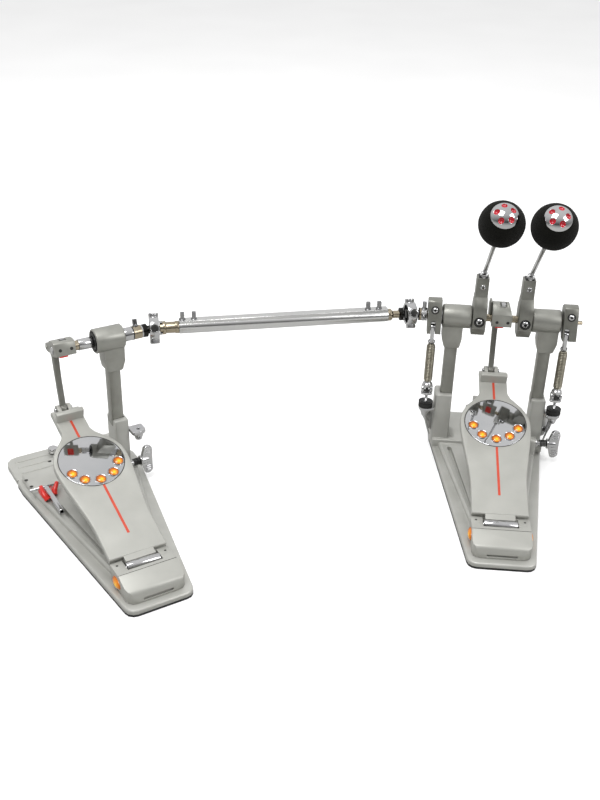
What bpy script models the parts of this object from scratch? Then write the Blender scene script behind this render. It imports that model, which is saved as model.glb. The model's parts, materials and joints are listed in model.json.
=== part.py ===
"""A double bass drum pedal: a main pedal with two beaters, a slave pedal, and the drive shaft between them.

Metres, +Z up. The floor is z = 0, the main axle lies along X above the origin, and +Y points at the drum.
"""

from math import atan2, cos, pi, radians, sin, tan

import bmesh
import bpy
from mathutils import Matrix, Vector

GAP = 0.0003

# Axle, uprights and bearings.
AXLE_Z = 0.2207
COLUMN_X = 0.0680
COLUMN_WIDTH = 0.0182
HOUSING_X = 0.0641
HOUSING_HALF = 0.0207
HOUSING_RADIUS = 0.0172
SOCKET_TOP = 0.0970
SOCKET_INNER_X = 0.0595
SOCKET_OUTER_X = {-1: 0.0850, 1: 0.0805}
SOCKET_FRONT = -0.0165
SOCKET_BACK = 0.0165
BEARING_RADIUS = 0.0145
SHAFT_RADIUS = 0.0060
HEX_RADIUS = 0.0055

# Bases.
MAT_THICKNESS = 0.0030
LIP_TOP = 0.0095
FLANK_TOP = 0.0175
PLATFORM_TOP = 0.0225
HEEL_Y = -0.3045
HEEL_HALF = 0.0436
FLANK_SPLAY = 0.136
SLAVE_LEFT_SPLAY = 0.100
SLAVE_RIGHT_SPLAY = 0.186
BASE_BACK = 0.0720
SLAVE_BACK = 0.0400
FLANK_INSET = 0.007
HEEL_SEAT_Y = -0.2270

# Footboard, measured along the board from its hinge axis.
HINGE_Y = -0.2470
HINGE_Z = 0.0305
INCLINE = 0.3329
BOARD_TOP = 0.0038
BOARD_THICKNESS = 0.0075
BOARD_START = 0.0152
BOARD_END = 0.2800
SLAVE_PRESS = radians(-1.75)
TOE_PLATE_ALONG = 0.1768
TOE_PLATE_RADIUS = 0.0440
TOE_BLOCK = (0.2560, 0.2642)
PIVOT_ALONG = 0.2731
PIVOT_ABOVE = 0.0118

# Cam and link.
LINK_X = -0.0045
LINK_WIDTH = 0.0074
CAM_LEFT = -0.0143
CAM_RIGHT = 0.0144
CAM_PIN_Y = 0.0260
CAM_PIN_Z = 0.0013
CAM_PIN_RADIUS = 0.0028
CLEVIS_PIN_RADIUS = 0.0025
CLEVIS_PLAY = 0.0016

# Beaters.
HOLDER_X = 0.0328
HOLDER_HALF = 0.0095
ROD_LEAN = radians(46.1)
ROD_RADIUS = 0.0030
ROD_EXIT_Z = 0.0640
BEATER_REACH = 0.1776
HEAD_RADIUS = 0.0299
CAP_RADIUS = 0.0176
CAP_SEAT = 0.0240

# Springs.
ROCKER_X = 0.0970
ROCKER_HALF = 0.0098
SPRING_Y = -0.0190
SPRING_X = {-1: 0.0985, 1: 0.0925}
HOOK_PIN_Z = -0.0110
COIL_TOP = 0.1815
COIL_BOTTOM = 0.1220
COIL_RADIUS = 0.0052
COIL_WIRE = 0.0011
COIL_TURNS = 12
BRACKET_Z = (0.0742, 0.0787)
BRACKET_REACH = 0.0100
KNOB_Z = (0.0793, 0.0878)
KNOB_RADIUS = 0.0105

# Drive shaft, measured along it from each joint's centre.
MAIN_JOINT_X = -0.1320
SLAVE_JOINT_X = 0.1330
SLAVE_ORIGIN = (-0.5987, -0.1754)
SLAVE_YAW = 0.6186
SLEEVE_SETBACK = 0.0345
SLEEVE_RADIUS = 0.0096
INNER_RADIUS = 0.0062
INNER_LENGTH = 0.1650
FORK_RADIUS = 0.0094
FORK_SLOT = 0.0077
FORK_REACH = 0.0050
JOINT_PHASE = -0.4400
CROSS_INNER = 0.0131
CROSS_OUTER = 0.0170
CROSS_HALF = 0.0066
LOBE_RADIUS = 0.0070
LOBE_OUT = 0.0136

# Hoop clamp and wing bolts.
WING_Y = -0.0320
WING_Z = 0.0330
WING_REACH = 0.0225
CLAMP_PIN_Y = 0.0450
CLAMP_PIN_Z = 0.0400


# ---------------------------------------------------------------- scene helpers


def clear_scene():
    for thing in list(bpy.data.objects):
        bpy.data.objects.remove(thing, do_unlink=True)


def collection(name):
    made = bpy.data.collections.new(name)
    bpy.context.scene.collection.children.link(made)
    return made


def material(name, colour, roughness, metallic):
    made = bpy.data.materials.new(name)
    made.use_nodes = True
    shader = made.node_tree.nodes["Principled BSDF"]
    shader.inputs["Base Color"].default_value = (*colour, 1.0)
    shader.inputs["Roughness"].default_value = roughness
    shader.inputs["Metallic"].default_value = metallic
    made.diffuse_color = (*colour, 1.0)
    return made


clear_scene()
PARTS = collection("double_bass_drum_pedal")
CUTTERS = collection("cutters")

PAINT = material("grey_paint", (0.40, 0.40, 0.37), 0.42, 0.5)
CHROME = material("chrome", (0.85, 0.85, 0.86), 0.08, 1.0)
BRONZE = material("bronze", (0.60, 0.52, 0.40), 0.25, 1.0)
SATIN = material("satin_aluminium", (0.80, 0.80, 0.80), 0.28, 1.0)
DARK = material("dark_casting", (0.16, 0.16, 0.15), 0.45, 0.6)
RUBBER = material("rubber", (0.02, 0.02, 0.02), 0.80, 0.0)
FELT = material("felt", (0.015, 0.015, 0.015), 0.95, 0.0)
RED = material("red_plastic", (0.75, 0.06, 0.03), 0.35, 0.0)


def empty(name, location, rotation=(0, 0, 0), parent=None):
    made = bpy.data.objects.new(name, None)
    made.location = location
    made.rotation_euler = rotation
    made.parent = parent
    made.empty_display_size = 0.02
    PARTS.objects.link(made)
    return made


def finish_mesh(name, mesh, parent, look):
    mesh.materials.clear()
    if look:
        mesh.materials.append(look)
    mesh.shade_smooth()
    mesh.set_sharp_from_angle(angle=radians(35))
    made = bpy.data.objects.new(name, mesh)
    made.parent = parent
    if look:
        PARTS.objects.link(made)
    else:
        CUTTERS.objects.link(made)
        made.hide_render = True
        made.display_type = "WIRE"
    return made


def from_bmesh(name, shape, parent, look, turn=None):
    if turn:
        shape.transform(turn)
    mesh = bpy.data.meshes.new(name)
    shape.to_mesh(mesh)
    shape.free()
    return finish_mesh(name, mesh, parent, look)


def round_edges(shape, width, segments=2, keep=None):
    """Bevels every edge, or those that keep says, of a shape that has few of them."""
    edges = [edge for edge in shape.edges if keep is None or keep(edge)]
    bmesh.ops.bevel(shape, geom=edges, offset=width, segments=segments, profile=0.5, affect="EDGES")


def box(name, low, high, parent, look=None, bevel=0.0, segments=2, turn=None):
    shape = bmesh.new()
    bmesh.ops.create_cube(shape, size=1.0)
    size = Vector(high) - Vector(low)
    middle = (Vector(high) + Vector(low)) / 2
    shape.transform(Matrix.Translation(middle) @ Matrix.Diagonal((*size, 1.0)))
    if bevel:
        round_edges(shape, bevel, segments)
    return from_bmesh(name, shape, parent, look, turn)


def axis_turn(axis):
    """The turn that takes +Z to the named axis."""
    turns = {
        "X": Matrix.Rotation(pi / 2, 4, "Y"),
        "Y": Matrix.Rotation(-pi / 2, 4, "X"),
        "Z": Matrix.Identity(4),
    }
    return turns[axis]


def cylinder(name, radius, start, end, centre, axis, parent, look=None, sides=24, turn=None, bevel=0.0):
    """A cylinder along an axis from start to end; centre gives its other two coordinates in x, y, z order."""
    shape = bmesh.new()
    bmesh.ops.create_cone(
        shape, cap_ends=True, segments=sides, radius1=radius, radius2=radius, depth=end - start
    )
    if bevel:
        round_edges(shape, bevel, 1, lambda edge: len(set(round(v.co.z, 6) for v in edge.verts)) == 1)
    middle = list(centre)
    middle.insert("XYZ".index(axis), (start + end) / 2)
    place = Matrix.Translation(middle) @ axis_turn(axis)
    shape.transform(place)
    return from_bmesh(name, shape, parent, look, turn)


def rounded(corners, steps=3):
    """A closed outline: each corner is (u, v) or (u, v, radius), and a radius is an arc of so many steps."""
    outline = []
    for index, corner in enumerate(corners):
        here = Vector(corner[:2])
        radius = corner[2] if len(corner) > 2 else 0.0
        if not radius:
            outline.append(here)
            continue
        back = (Vector(corners[index - 1][:2]) - here).normalized()
        ahead = (Vector(corners[(index + 1) % len(corners)][:2]) - here).normalized()
        half = back.angle(ahead) / 2
        centre = here + (back + ahead).normalized() * (radius / sin(half))
        first = here + back * (radius / tan(half)) - centre
        last = here + ahead * (radius / tan(half)) - centre
        sweep = first.angle_signed(last)
        for step in range(steps + 1):
            turn = -sweep * step / steps
            outline.append(centre + Matrix.Rotation(turn, 2) @ first)
    return outline


def prism(name, outline, low, high, axis, parent, look=None, turn=None, bevel=0.0):
    """A flat outline made solid along an axis: (y, z) along X, (x, z) along Y and (x, y) along Z."""
    curve = bpy.data.curves.new(name, "CURVE")
    curve.dimensions = "2D"
    curve.fill_mode = "BOTH"
    curve.extrude = (high - low) / 2
    spline = curve.splines.new("POLY")
    spline.points.add(len(outline) - 1)
    for point, (u, v) in zip(spline.points, outline):
        point.co = (u, v, 0.0, 1.0)
    spline.use_cyclic_u = True
    drawn = bpy.data.objects.new(name, curve)
    PARTS.objects.link(drawn)
    bpy.context.view_layer.update()
    mesh = bpy.data.meshes.new_from_object(drawn.evaluated_get(bpy.context.evaluated_depsgraph_get()))
    bpy.data.objects.remove(drawn, do_unlink=True)
    bpy.data.curves.remove(curve)
    shape = bmesh.new()
    shape.from_mesh(mesh)
    bpy.data.meshes.remove(mesh)
    bmesh.ops.remove_doubles(shape, verts=shape.verts, dist=1e-6)
    bmesh.ops.dissolve_limit(shape, angle_limit=0.001, verts=shape.verts, edges=shape.edges)
    if bevel:
        rim = high - low
        round_edges(shape, bevel, 1, lambda edge: min(v.co.z for v in edge.verts) > rim / 2 - 1e-6)
    middle = (low + high) / 2
    places = {
        "X": Matrix(((0, 0, 1, middle), (1, 0, 0, 0), (0, 1, 0, 0), (0, 0, 0, 1))),
        "Y": Matrix(((1, 0, 0, 0), (0, 0, -1, middle), (0, 1, 0, 0), (0, 0, 0, 1))),
        "Z": Matrix.Translation((0, 0, middle)),
    }
    shape.transform(places[axis])
    bmesh.ops.recalc_face_normals(shape, faces=shape.faces)
    return from_bmesh(name, shape, parent, look, turn)


def turned(name, profile, axis, centre, parent, look=None, sides=24):
    """A turned shape: the profile is (along, radius) from one end of the axis to the other, closed.

    The Screw modifier needs the outer side to run from the high end to the low end, so a rising profile
    is reversed.
    """
    if profile[0][0] < profile[-1][0]:
        profile = profile[::-1]
    around = "XYZ".index(axis)
    mesh = bpy.data.meshes.new(name)
    points = []
    for along, radius in profile:
        point = [0.0, 0.0, 0.0]
        point[around] = along
        point[(around + 1) % 3] = radius
        points.append(point)
    mesh.from_pydata(points, [(index, index + 1) for index in range(len(points) - 1)], [])
    made = finish_mesh(name, mesh, parent, look)
    middle = list(centre)
    middle.insert(around, 0.0)
    made.location = middle
    screw = made.modifiers.new("turn", "SCREW")
    screw.axis = axis
    screw.steps = sides
    screw.render_steps = sides
    screw.use_smooth_shade = False
    screw.use_merge_vertices = True
    screw.merge_threshold = 0.00001
    return made


def change(target, other, operation):
    step = target.modifiers.new(other.name, "BOOLEAN")
    step.operation = operation
    step.object = other
    step.solver = "EXACT"
    return target


def cut(target, *others):
    for other in others:
        change(target, other, "DIFFERENCE")
    return target


def fuse(target, *others):
    for other in others:
        change(target, other, "UNION")
    return target


def capsule(start, end, radius_start, radius_end, steps=6):
    """The outline round two circles, joined by straight sides."""
    heading = atan2(end[1] - start[1], end[0] - start[0])
    outline = []
    for centre, radius, turned_by in ((end, radius_end, -pi / 2), (start, radius_start, pi / 2)):
        for step in range(steps + 1):
            angle = heading + turned_by + pi * step / steps
            outline.append((centre[0] + radius * cos(angle), centre[1] + radius * sin(angle)))
    return outline


# ---------------------------------------------------------------- frames and axes

MAIN = empty("main_pedal", (0, 0, 0))
SLAVE = empty("slave_pedal", (*SLAVE_ORIGIN, 0), (0, 0, SLAVE_YAW))


def joint_centre():
    reach = Vector((cos(SLAVE_YAW), sin(SLAVE_YAW))) * SLAVE_JOINT_X
    return Vector(SLAVE_ORIGIN) + reach


SHAFT_RUN = Vector((MAIN_JOINT_X, 0.0)) - joint_centre()
SHAFT_LENGTH = SHAFT_RUN.length
SHAFT_YAW = atan2(SHAFT_RUN.y, SHAFT_RUN.x)
SHAFT = empty("drive_shaft_axis", (MAIN_JOINT_X, 0, AXLE_Z), (0, 0, SHAFT_YAW))


# ---------------------------------------------------------------- bases


def base_outline(left_splay, right_splay, back, inset=0.0):
    """The base seen from above: a rounded heel, and flanks that splay towards the drum."""
    heel = HEEL_Y + inset
    shoulder = 0.010
    left_heel = -(HEEL_HALF + left_splay * (heel - HEEL_Y)) + inset
    right_heel = HEEL_HALF + right_splay * (heel - HEEL_Y) - inset
    left = -(HEEL_HALF + left_splay * (shoulder - HEEL_Y)) + inset
    right = HEEL_HALF + right_splay * (shoulder - HEEL_Y) - inset
    corners = [
        (left_heel, heel, 0.013),
        (right_heel, heel, 0.013),
        (right, shoulder, 0.02),
        (right, back, 0.008),
        (left, back, 0.008),
        (left, shoulder, 0.02),
    ]
    return rounded(corners)


def flank_outline(left_splay, right_splay, back):
    """The raised part of the base: set in from the lip, and cut off square in front of the heel block."""
    outline = []
    for point in base_outline(left_splay, right_splay, back, FLANK_INSET):
        if point.y > HEEL_SEAT_Y:
            outline.append(point)
        else:
            outline.append(Vector((point.x * 0.92, HEEL_SEAT_Y)))
    return outline


def flank_slot(name, side, splay, parent):
    """The cutter of the long groove along one flank."""
    near = Vector((HEEL_HALF + splay * 0.115 - 0.0240, HEEL_Y + 0.115))
    far = Vector((HEEL_HALF + splay * 0.268 - 0.0225, HEEL_Y + 0.268))
    outline = capsule((side * near.x, near.y), (side * far.x, far.y), 0.0026, 0.0032, 4)
    return prism(name, outline, 0.0110, 0.0300, "Z", parent)


def column_socket(prefix, side, parent):
    """The socket that holds an upright, with a buttress on its inner side."""
    low = (side * SOCKET_INNER_X, SOCKET_FRONT, LIP_TOP + 0.002)
    high = (side * SOCKET_OUTER_X[side], SOCKET_BACK, SOCKET_TOP)
    left, right = sorted((low[0], high[0]))
    body = box(prefix + "socket", (left, low[1], low[2]), (right, high[1], high[2]), parent, None, 0.003)
    angles = [pi / 2 * step / 5 for step in range(6)]
    arc = [(0.0440 + 0.0180 * sin(angle), 0.0430 - 0.0215 * cos(angle)) for angle in angles]
    outline = [(side * x, z) for x, z in arc + [(0.0640, 0.0640), (0.0640, 0.0150), (0.0440, 0.0150)]]
    return body, prism(prefix + "buttress", outline, SOCKET_FRONT + 0.004, SOCKET_BACK - 0.004, "Y", parent)


def socket_hole(prefix, side, parent):
    half = COLUMN_WIDTH / 2 + GAP
    centre = side * COLUMN_X
    low = (centre - half, -0.0080 - GAP, 0.0850)
    return box(prefix + "hole", low, (centre + half, 0.0090 + GAP, 0.1100), parent)


def wing_boss(prefix, parent):
    """The boss that carries a wing bolt, and the cutter of its hole."""
    corners = [(-0.0430, 0.0150), (-0.0210, 0.0150), (-0.0250, 0.0420, 0.006), (-0.0390, 0.0420, 0.006)]
    outline = rounded(corners)
    body = prism(prefix + "boss", outline, 0.0580, 0.0700, "X", parent)
    hole = cylinder(prefix + "boss_hole", 0.0038, 0.0500, 0.0800, (WING_Y, WING_Z), "X", parent, None, 16)
    return body, hole


def make_main_base():
    outline = base_outline(FLANK_SPLAY, FLANK_SPLAY, BASE_BACK)
    lip = prism("main_base", outline, MAT_THICKNESS + GAP, LIP_TOP, "Z", MAIN, PAINT, bevel=0.0015)
    raised = flank_outline(FLANK_SPLAY, FLANK_SPLAY, BASE_BACK)
    flank = prism("main_flank", raised, LIP_TOP - 0.001, FLANK_TOP, "Z", MAIN, bevel=0.0025)
    far_corner = (0.0835, 0.0680, PLATFORM_TOP)
    platform = box("main_platform", (-0.0835, -0.0225, 0.008), far_corner, MAIN, None, 0.003)
    tongue = box("main_tongue", (-0.0240, 0.0600, 0.0050), (0.0240, 0.1060, 0.0160), MAIN, None, 0.002)
    fuse(lip, flank, platform, tongue)
    for side, tag in ((-1, "left_"), (1, "right_")):
        fuse(lip, *column_socket(tag + "main_", side, MAIN))
        slot = flank_slot(tag + "main_slot", side, FLANK_SPLAY, MAIN)
        cut(lip, socket_hole(tag + "main_", side, MAIN), slot)
    boss, hole = wing_boss("main_", MAIN)
    fuse(lip, boss)
    cut(lip, hole)
    for side in (-1, 1):
        centre = side * 0.0188
        low = (centre - 0.003, 0.0370, 0.0150)
        high = (centre + 0.003, 0.0530, 0.0475)
        fuse(lip, box("clamp_post_%d" % side, low, high, MAIN, None, 0.002))
    cut(lip, cylinder("clamp_pin_hole", 0.0033, -0.03, 0.03, (CLAMP_PIN_Y, CLAMP_PIN_Z), "X", MAIN, None, 16))
    return lip


def make_slave_base():
    outline = base_outline(SLAVE_LEFT_SPLAY, SLAVE_RIGHT_SPLAY, SLAVE_BACK)
    lip = prism("slave_base", outline, MAT_THICKNESS + GAP, LIP_TOP, "Z", SLAVE, PAINT, bevel=0.0015)
    raised = flank_outline(SLAVE_LEFT_SPLAY, SLAVE_RIGHT_SPLAY, SLAVE_BACK)
    flank = prism("slave_flank", raised, LIP_TOP - 0.001, FLANK_TOP, "Z", SLAVE, bevel=0.0025)
    far_corner = (0.0880, 0.0360, PLATFORM_TOP)
    platform = box("slave_platform", (0.0400, -0.0225, 0.008), far_corner, SLAVE, None, 0.003)
    fuse(lip, flank, platform, *column_socket("slave_", 1, SLAVE))
    slot = flank_slot("slave_slot", -1, SLAVE_LEFT_SPLAY, SLAVE)
    cut(lip, socket_hole("slave_", 1, SLAVE), slot)
    boss, hole = wing_boss("slave_", SLAVE)
    fuse(lip, boss)
    return cut(lip, hole)


def make_mat(name, left_splay, right_splay, back, parent):
    return prism(name, base_outline(left_splay, right_splay, back), 0.0, MAT_THICKNESS, "Z", parent, RUBBER)


def make_stabiliser():
    """The wide plate under the drum end of the slave pedal, on the same level as its mat."""
    corners = [(-0.0735, 0.0420), (0.1000, 0.0420), (0.1000, 0.1040, 0.010), (-0.0735, 0.1040, 0.018)]
    plate = prism("stabiliser_plate", rounded(corners), 0.0, 0.0070, "Z", SLAVE, PAINT, bevel=0.001)
    for index, y in enumerate((0.0560, 0.0720, 0.0880)):
        outline = capsule((-0.0600, y), (-0.0100, y), 0.0022, 0.0022, 4)
        fuse(plate, prism("stabiliser_rib_%d" % index, outline, 0.004, 0.0082, "Z", SLAVE))
    return plate


def make_heel_block(name, parent):
    """The heel plate: a rounded block with a sloping top and a notch for the hinge barrel."""
    plan = rounded([
        (-0.0392, -0.2935, 0.012), (0.0392, -0.2935, 0.012),
        (0.0392, -0.2338, 0.003), (-0.0392, -0.2338, 0.003),
    ])
    block = prism(name, plan, LIP_TOP + GAP, 0.0480, "Z", parent, PAINT)
    side = rounded([
        (-0.2325, 0.0050), (-0.2325, 0.0335, 0.003), (-0.2620, 0.0345, 0.004), (-0.2905, 0.0260, 0.006),
        (-0.2960, 0.0120), (-0.2960, 0.0050),
    ])
    change(block, prism(name + "_side", side, -0.0500, 0.0500, "X", parent), "INTERSECT")
    notch = [
        (-0.2200, 0.0120), (-0.2200, 0.0600), (-0.2562, 0.0600), (-0.2562, 0.0240), (-0.2490, 0.0215),
        (-0.2290, 0.0120),
    ]
    slit = box(name + "_slit", (-0.0200, -0.2980, 0.0125), (0.0200, -0.2905, 0.0160), parent)
    pin_at = (HINGE_Y, HINGE_Z)
    pin_hole = cylinder(name + "_pin_hole", 0.0033, -0.0350, 0.0350, pin_at, "X", parent, None, 16)
    recess = prism(name + "_notch", notch, -0.0235, 0.0235, "X", parent)
    return cut(block, recess, slit, pin_hole)


# ---------------------------------------------------------------- uprights


def make_upright(name, side, parent):
    """A column that stands in its socket and carries a bearing housing."""
    centre = side * COLUMN_X
    half = COLUMN_WIDTH / 2
    foot = (centre - half, -0.0080, 0.0852)
    column = box(name, foot, (centre + half, 0.0090, 0.1900), parent, PAINT, 0.003)
    low, high = sorted((side * (HOUSING_X - HOUSING_HALF), side * (HOUSING_X + HOUSING_HALF)))
    housing = cylinder(
        name + "_housing", HOUSING_RADIUS, low, high, (0, AXLE_Z), "X", parent, None, 32, bevel=0.0015
    )
    lean = [
        (side * 0.0835, 0.2150), (side * 0.0835, 0.1880, 0.004), (side * 0.0790, 0.1740, 0.003),
        (side * 0.0570, 0.1740, 0.003), (side * 0.0545, 0.1880, 0.004), (side * 0.0545, 0.2150),
    ]
    neck = prism(name + "_neck", rounded(lean, 3), -0.0110, 0.0120, "Y", parent)
    fuse(column, neck, housing)
    bore = cylinder(name + "_bore", BEARING_RADIUS + GAP, -0.2, 0.2, (0, AXLE_Z), "X", parent, None, 32)
    return cut(column, bore)


def make_bearing(name, side, shaft, parent):
    """The outer ring, balls and inner ring of a bearing, as one sleeve."""
    centre = side * HOUSING_X
    ring = cylinder(
        name, BEARING_RADIUS, centre - 0.0175, centre + 0.0175, (0, AXLE_Z), "X", parent, DARK, 24,
        bevel=0.0008,
    )
    bore = cylinder(name + "_bore", shaft + GAP, -0.2, 0.2, (0, AXLE_Z), "X", parent, None, 24)
    return cut(ring, bore)


def make_bracket(name, side, parent):
    """The chrome bracket on the outer side of a socket, with the hole that the tension rod hangs through."""
    near = side * (SOCKET_OUTER_X[side] + GAP)
    far = side * (SPRING_X[side] + BRACKET_REACH)
    centre = (side * SPRING_X[side], SPRING_Y)
    corners = [(near, -0.0060), (far, -0.0060, 0.003), (far, -0.0285, 0.008), (near, -0.0285, 0.003)]
    low, high = BRACKET_Z
    plate = prism(name, rounded(corners), low, high, "Z", parent, CHROME, bevel=0.0006)
    stem = [
        (low - 0.0120, 0.0), (low - 0.0120, 0.0045), (low - 0.0020, 0.0078), (low + 0.0010, 0.0078),
        (low + 0.0010, 0.0),
    ]
    fuse(plate, turned(name + "_stem", stem, "Z", centre, parent, None, 16))
    hole = cylinder(name + "_hole", 0.0024, 0.05, 0.10, centre, "Z", parent, None, 12)
    return cut(plate, hole)


# ---------------------------------------------------------------- footboard and hinge


def ease(share):
    share = max(0.0, min(1.0, share))
    return share * share * (3 - 2 * share)


def board_half_width(along):
    """The half width of the footboard: a gentle waist, a round swell about the toe plate, a narrow toe."""
    heel, swell, neck = 0.0385, 0.0505, 0.0203
    waist_end, round_end = 0.0600, 0.0300
    across = along - TOE_PLATE_ALONG
    if across < 0:
        return heel + (swell - heel) * ease((along - waist_end) / (TOE_PLATE_ALONG - waist_end))
    if across < round_end:
        return (swell**2 - across**2) ** 0.5
    start = (swell**2 - round_end**2) ** 0.5
    return start + (neck - start) * ease((across - round_end) / round_end) ** 0.75


def make_footboard(name, axis):
    count = 30
    steps = [BOARD_START + (BOARD_END - BOARD_START) * index / count for index in range(count + 1)]
    right = [(board_half_width(s), s) for s in steps]
    outline = right + [(-x, s) for x, s in reversed(right)]
    board = prism(name, outline, BOARD_TOP - BOARD_THICKNESS, BOARD_TOP, "Z", axis, PAINT, bevel=0.0012)
    tongue = box(name + "_tongue", (-0.0200, 0.0068, -0.0030), (0.0200, 0.0200, 0.0030), axis)
    low, high = (-0.0198, TOE_BLOCK[0], 0.0), (0.0198, TOE_BLOCK[1], 0.0190)
    block = box(name + "_toe_block", low, high, axis, None, 0.002)
    fuse(board, tongue, block)
    half = LINK_WIDTH / 2 + 0.0012
    for side, tag in ((-1, "left"), (1, "right")):
        low, high = sorted((LINK_X + side * half, LINK_X + side * (half + 0.0050)))
        outline = rounded([
            (0.2615, 0.0), (0.2795, 0.0), (0.2795, 0.0195, 0.007), (0.2660, 0.0195, 0.004), (0.2615, 0.0150),
        ])
        fuse(board, prism(name + "_ear_" + tag, outline, low, high, "X", axis))
    low, high = BOARD_TOP - 0.0020, BOARD_TOP + 0.01
    centre = (0, TOE_PLATE_ALONG)
    seat = cylinder(name + "_seat", TOE_PLATE_RADIUS + GAP, low, high, centre, "Z", axis, None, 48)
    pin = (PIVOT_ALONG, PIVOT_ABOVE)
    pin_hole = cylinder(name + "_clevis_hole", CLEVIS_PIN_RADIUS + GAP, -0.03, 0.03, pin, "X", axis, None, 16)
    return cut(board, seat, pin_hole)


def make_toe_plate(name, axis):
    low, high = BOARD_TOP - 0.0020 + GAP, BOARD_TOP + 0.0003
    centre = (0, TOE_PLATE_ALONG)
    return cylinder(name, TOE_PLATE_RADIUS, low, high, centre, "Z", axis, CHROME, 48, bevel=0.0004)


def make_hinge_pin(name, axis):
    """The hinge pin with its chrome barrel, which turns with the footboard."""
    profile = [
        (-0.0345, 0.0), (-0.0345, 0.0030), (-0.0222, 0.0030), (-0.0222, 0.0064),
        (0.0222, 0.0064), (0.0222, 0.0030), (0.0345, 0.0030), (0.0345, 0.0),
    ]
    return turned(name, profile, "X", (0, 0), axis, CHROME, 20)


def make_clevis_pin(name, axis):
    half = LINK_WIDTH / 2 + 0.0065
    low, high = LINK_X - half, LINK_X + half
    profile = [
        (low - 0.0012, 0.0), (low - 0.0012, 0.0038), (low, 0.0038), (low, CLEVIS_PIN_RADIUS),
        (high, CLEVIS_PIN_RADIUS), (high, 0.0038), (high + 0.0012, 0.0038), (high + 0.0012, 0.0),
    ]
    return turned(name, profile, "X", (PIVOT_ALONG, PIVOT_ABOVE), axis, CHROME, 16)


# ---------------------------------------------------------------- cam and link


def make_cam(name, axis, tall):
    """The cam: a block clamped on the hex axle, with two ears that hold the link's upper pin.

    The main pedal's cam has a tall nose over the block, and the slave pedal's stays low.
    """
    top = 0.0235 if tall else 0.0125
    profile = rounded([
        (-0.0125, -0.0085, 0.001), (0.0125, -0.0085, 0.002),
        (0.0135, top - 0.0060, 0.003), (0.0090, top, 0.003),
        (-0.0030, top, 0.003), (-0.0125, 0.0100, 0.002),
    ], 2)
    block = prism(name, profile, CAM_LEFT, CAM_RIGHT, "X", axis, PAINT)
    if tall:
        slope = [(-0.02, -0.02), (0.0148, -0.02), (0.0148, 0.0080), (0.0075, 0.0300), (-0.02, 0.0300)]
        change(block, prism(name + "_slope", slope, -0.0300, 0.0300, "Y", axis), "INTERSECT")
    half = LINK_WIDTH / 2 + 0.0006
    pin = (CAM_PIN_Y, CAM_PIN_Z)
    arm = capsule((0.0040, 0.0020), pin, 0.0085, 0.0062)
    fuse(
        block,
        prism(name + "_left_ear", arm, CAM_LEFT + 0.0004, LINK_X - half, "X", axis),
        prism(name + "_right_ear", arm, LINK_X + half, LINK_X + half + 0.0052, "X", axis),
        cylinder(
            name + "_pin", CAM_PIN_RADIUS, CAM_LEFT - 0.0008, LINK_X + half + 0.0060, pin, "X", axis, None, 16
        ),
    )
    notch = box(name + "_notch", (-0.0040, -0.0060, top - 0.0040), (0.0060, 0.0060, 0.0400), axis)
    return cut(block, hex_hole(name + "_hex", axis), notch)


def hex_hole(name, axis):
    return cylinder(name, HEX_RADIUS + GAP * 1.2, -0.2, 0.2, (0, 0), "X", axis, None, 6)


def board_pin(press):
    """The clevis pin's (y, z) when the footboard is turned by this angle from the main pedal's rest."""
    slope = INCLINE + press
    y = HINGE_Y + PIVOT_ALONG * cos(slope) - PIVOT_ABOVE * sin(slope)
    z = HINGE_Z + PIVOT_ALONG * sin(slope) + PIVOT_ABOVE * cos(slope)
    return Vector((y, z))


def cam_pin(swing):
    """The cam pin's (y, z) when the axle is turned by this angle from the main pedal's rest."""
    y = CAM_PIN_Y * cos(swing) - CAM_PIN_Z * sin(swing)
    z = CAM_PIN_Y * sin(swing) + CAM_PIN_Z * cos(swing)
    return Vector((y, AXLE_Z + z))


LINK_LENGTH = (board_pin(0) - cam_pin(0)).length


def linkage(press):
    """How far the axle and the link turn from the main pedal's rest as the footboard turns by this angle."""
    low, high = radians(-60), radians(20)
    for _ in range(50):
        middle = (low + high) / 2
        if (board_pin(press) - cam_pin(middle)).length > LINK_LENGTH:
            high = middle
        else:
            low = middle
    rest, now = board_pin(0) - cam_pin(0), board_pin(press) - cam_pin(middle)
    return middle, atan2(now.y, now.x) - atan2(rest.y, rest.x)


def make_link(name, axis):
    """The link: an eye at each end of a slightly bowed bar, drawn from its upper pin."""
    low, high = LINK_X - LINK_WIDTH / 2, LINK_X + LINK_WIDTH / 2
    foot = board_pin(0) - cam_pin(0)
    bow = (foot[0] / 2 + 0.0015, foot[1] / 2)
    link = prism(name, capsule((0, 0), bow, 0.0060, 0.0037), low, high, "X", axis, DARK)
    lower = prism(name + "_lower", capsule(bow, foot, 0.0037, 0.0036), low, high, "X", axis)
    eye = cylinder(name + "_eye", 0.0068, low, high, foot, "X", axis, None, 20)
    fuse(link, lower, eye)
    for tag, radius, centre in (
        ("_upper_hole", CAM_PIN_RADIUS + GAP, (0, 0)),
        ("_lower_hole", CLEVIS_PIN_RADIUS + CLEVIS_PLAY, foot),
    ):
        cut(link, cylinder(name + tag, radius, -0.03, 0.03, centre, "X", axis, None, 16))
    return link


# ---------------------------------------------------------------- beaters


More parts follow.
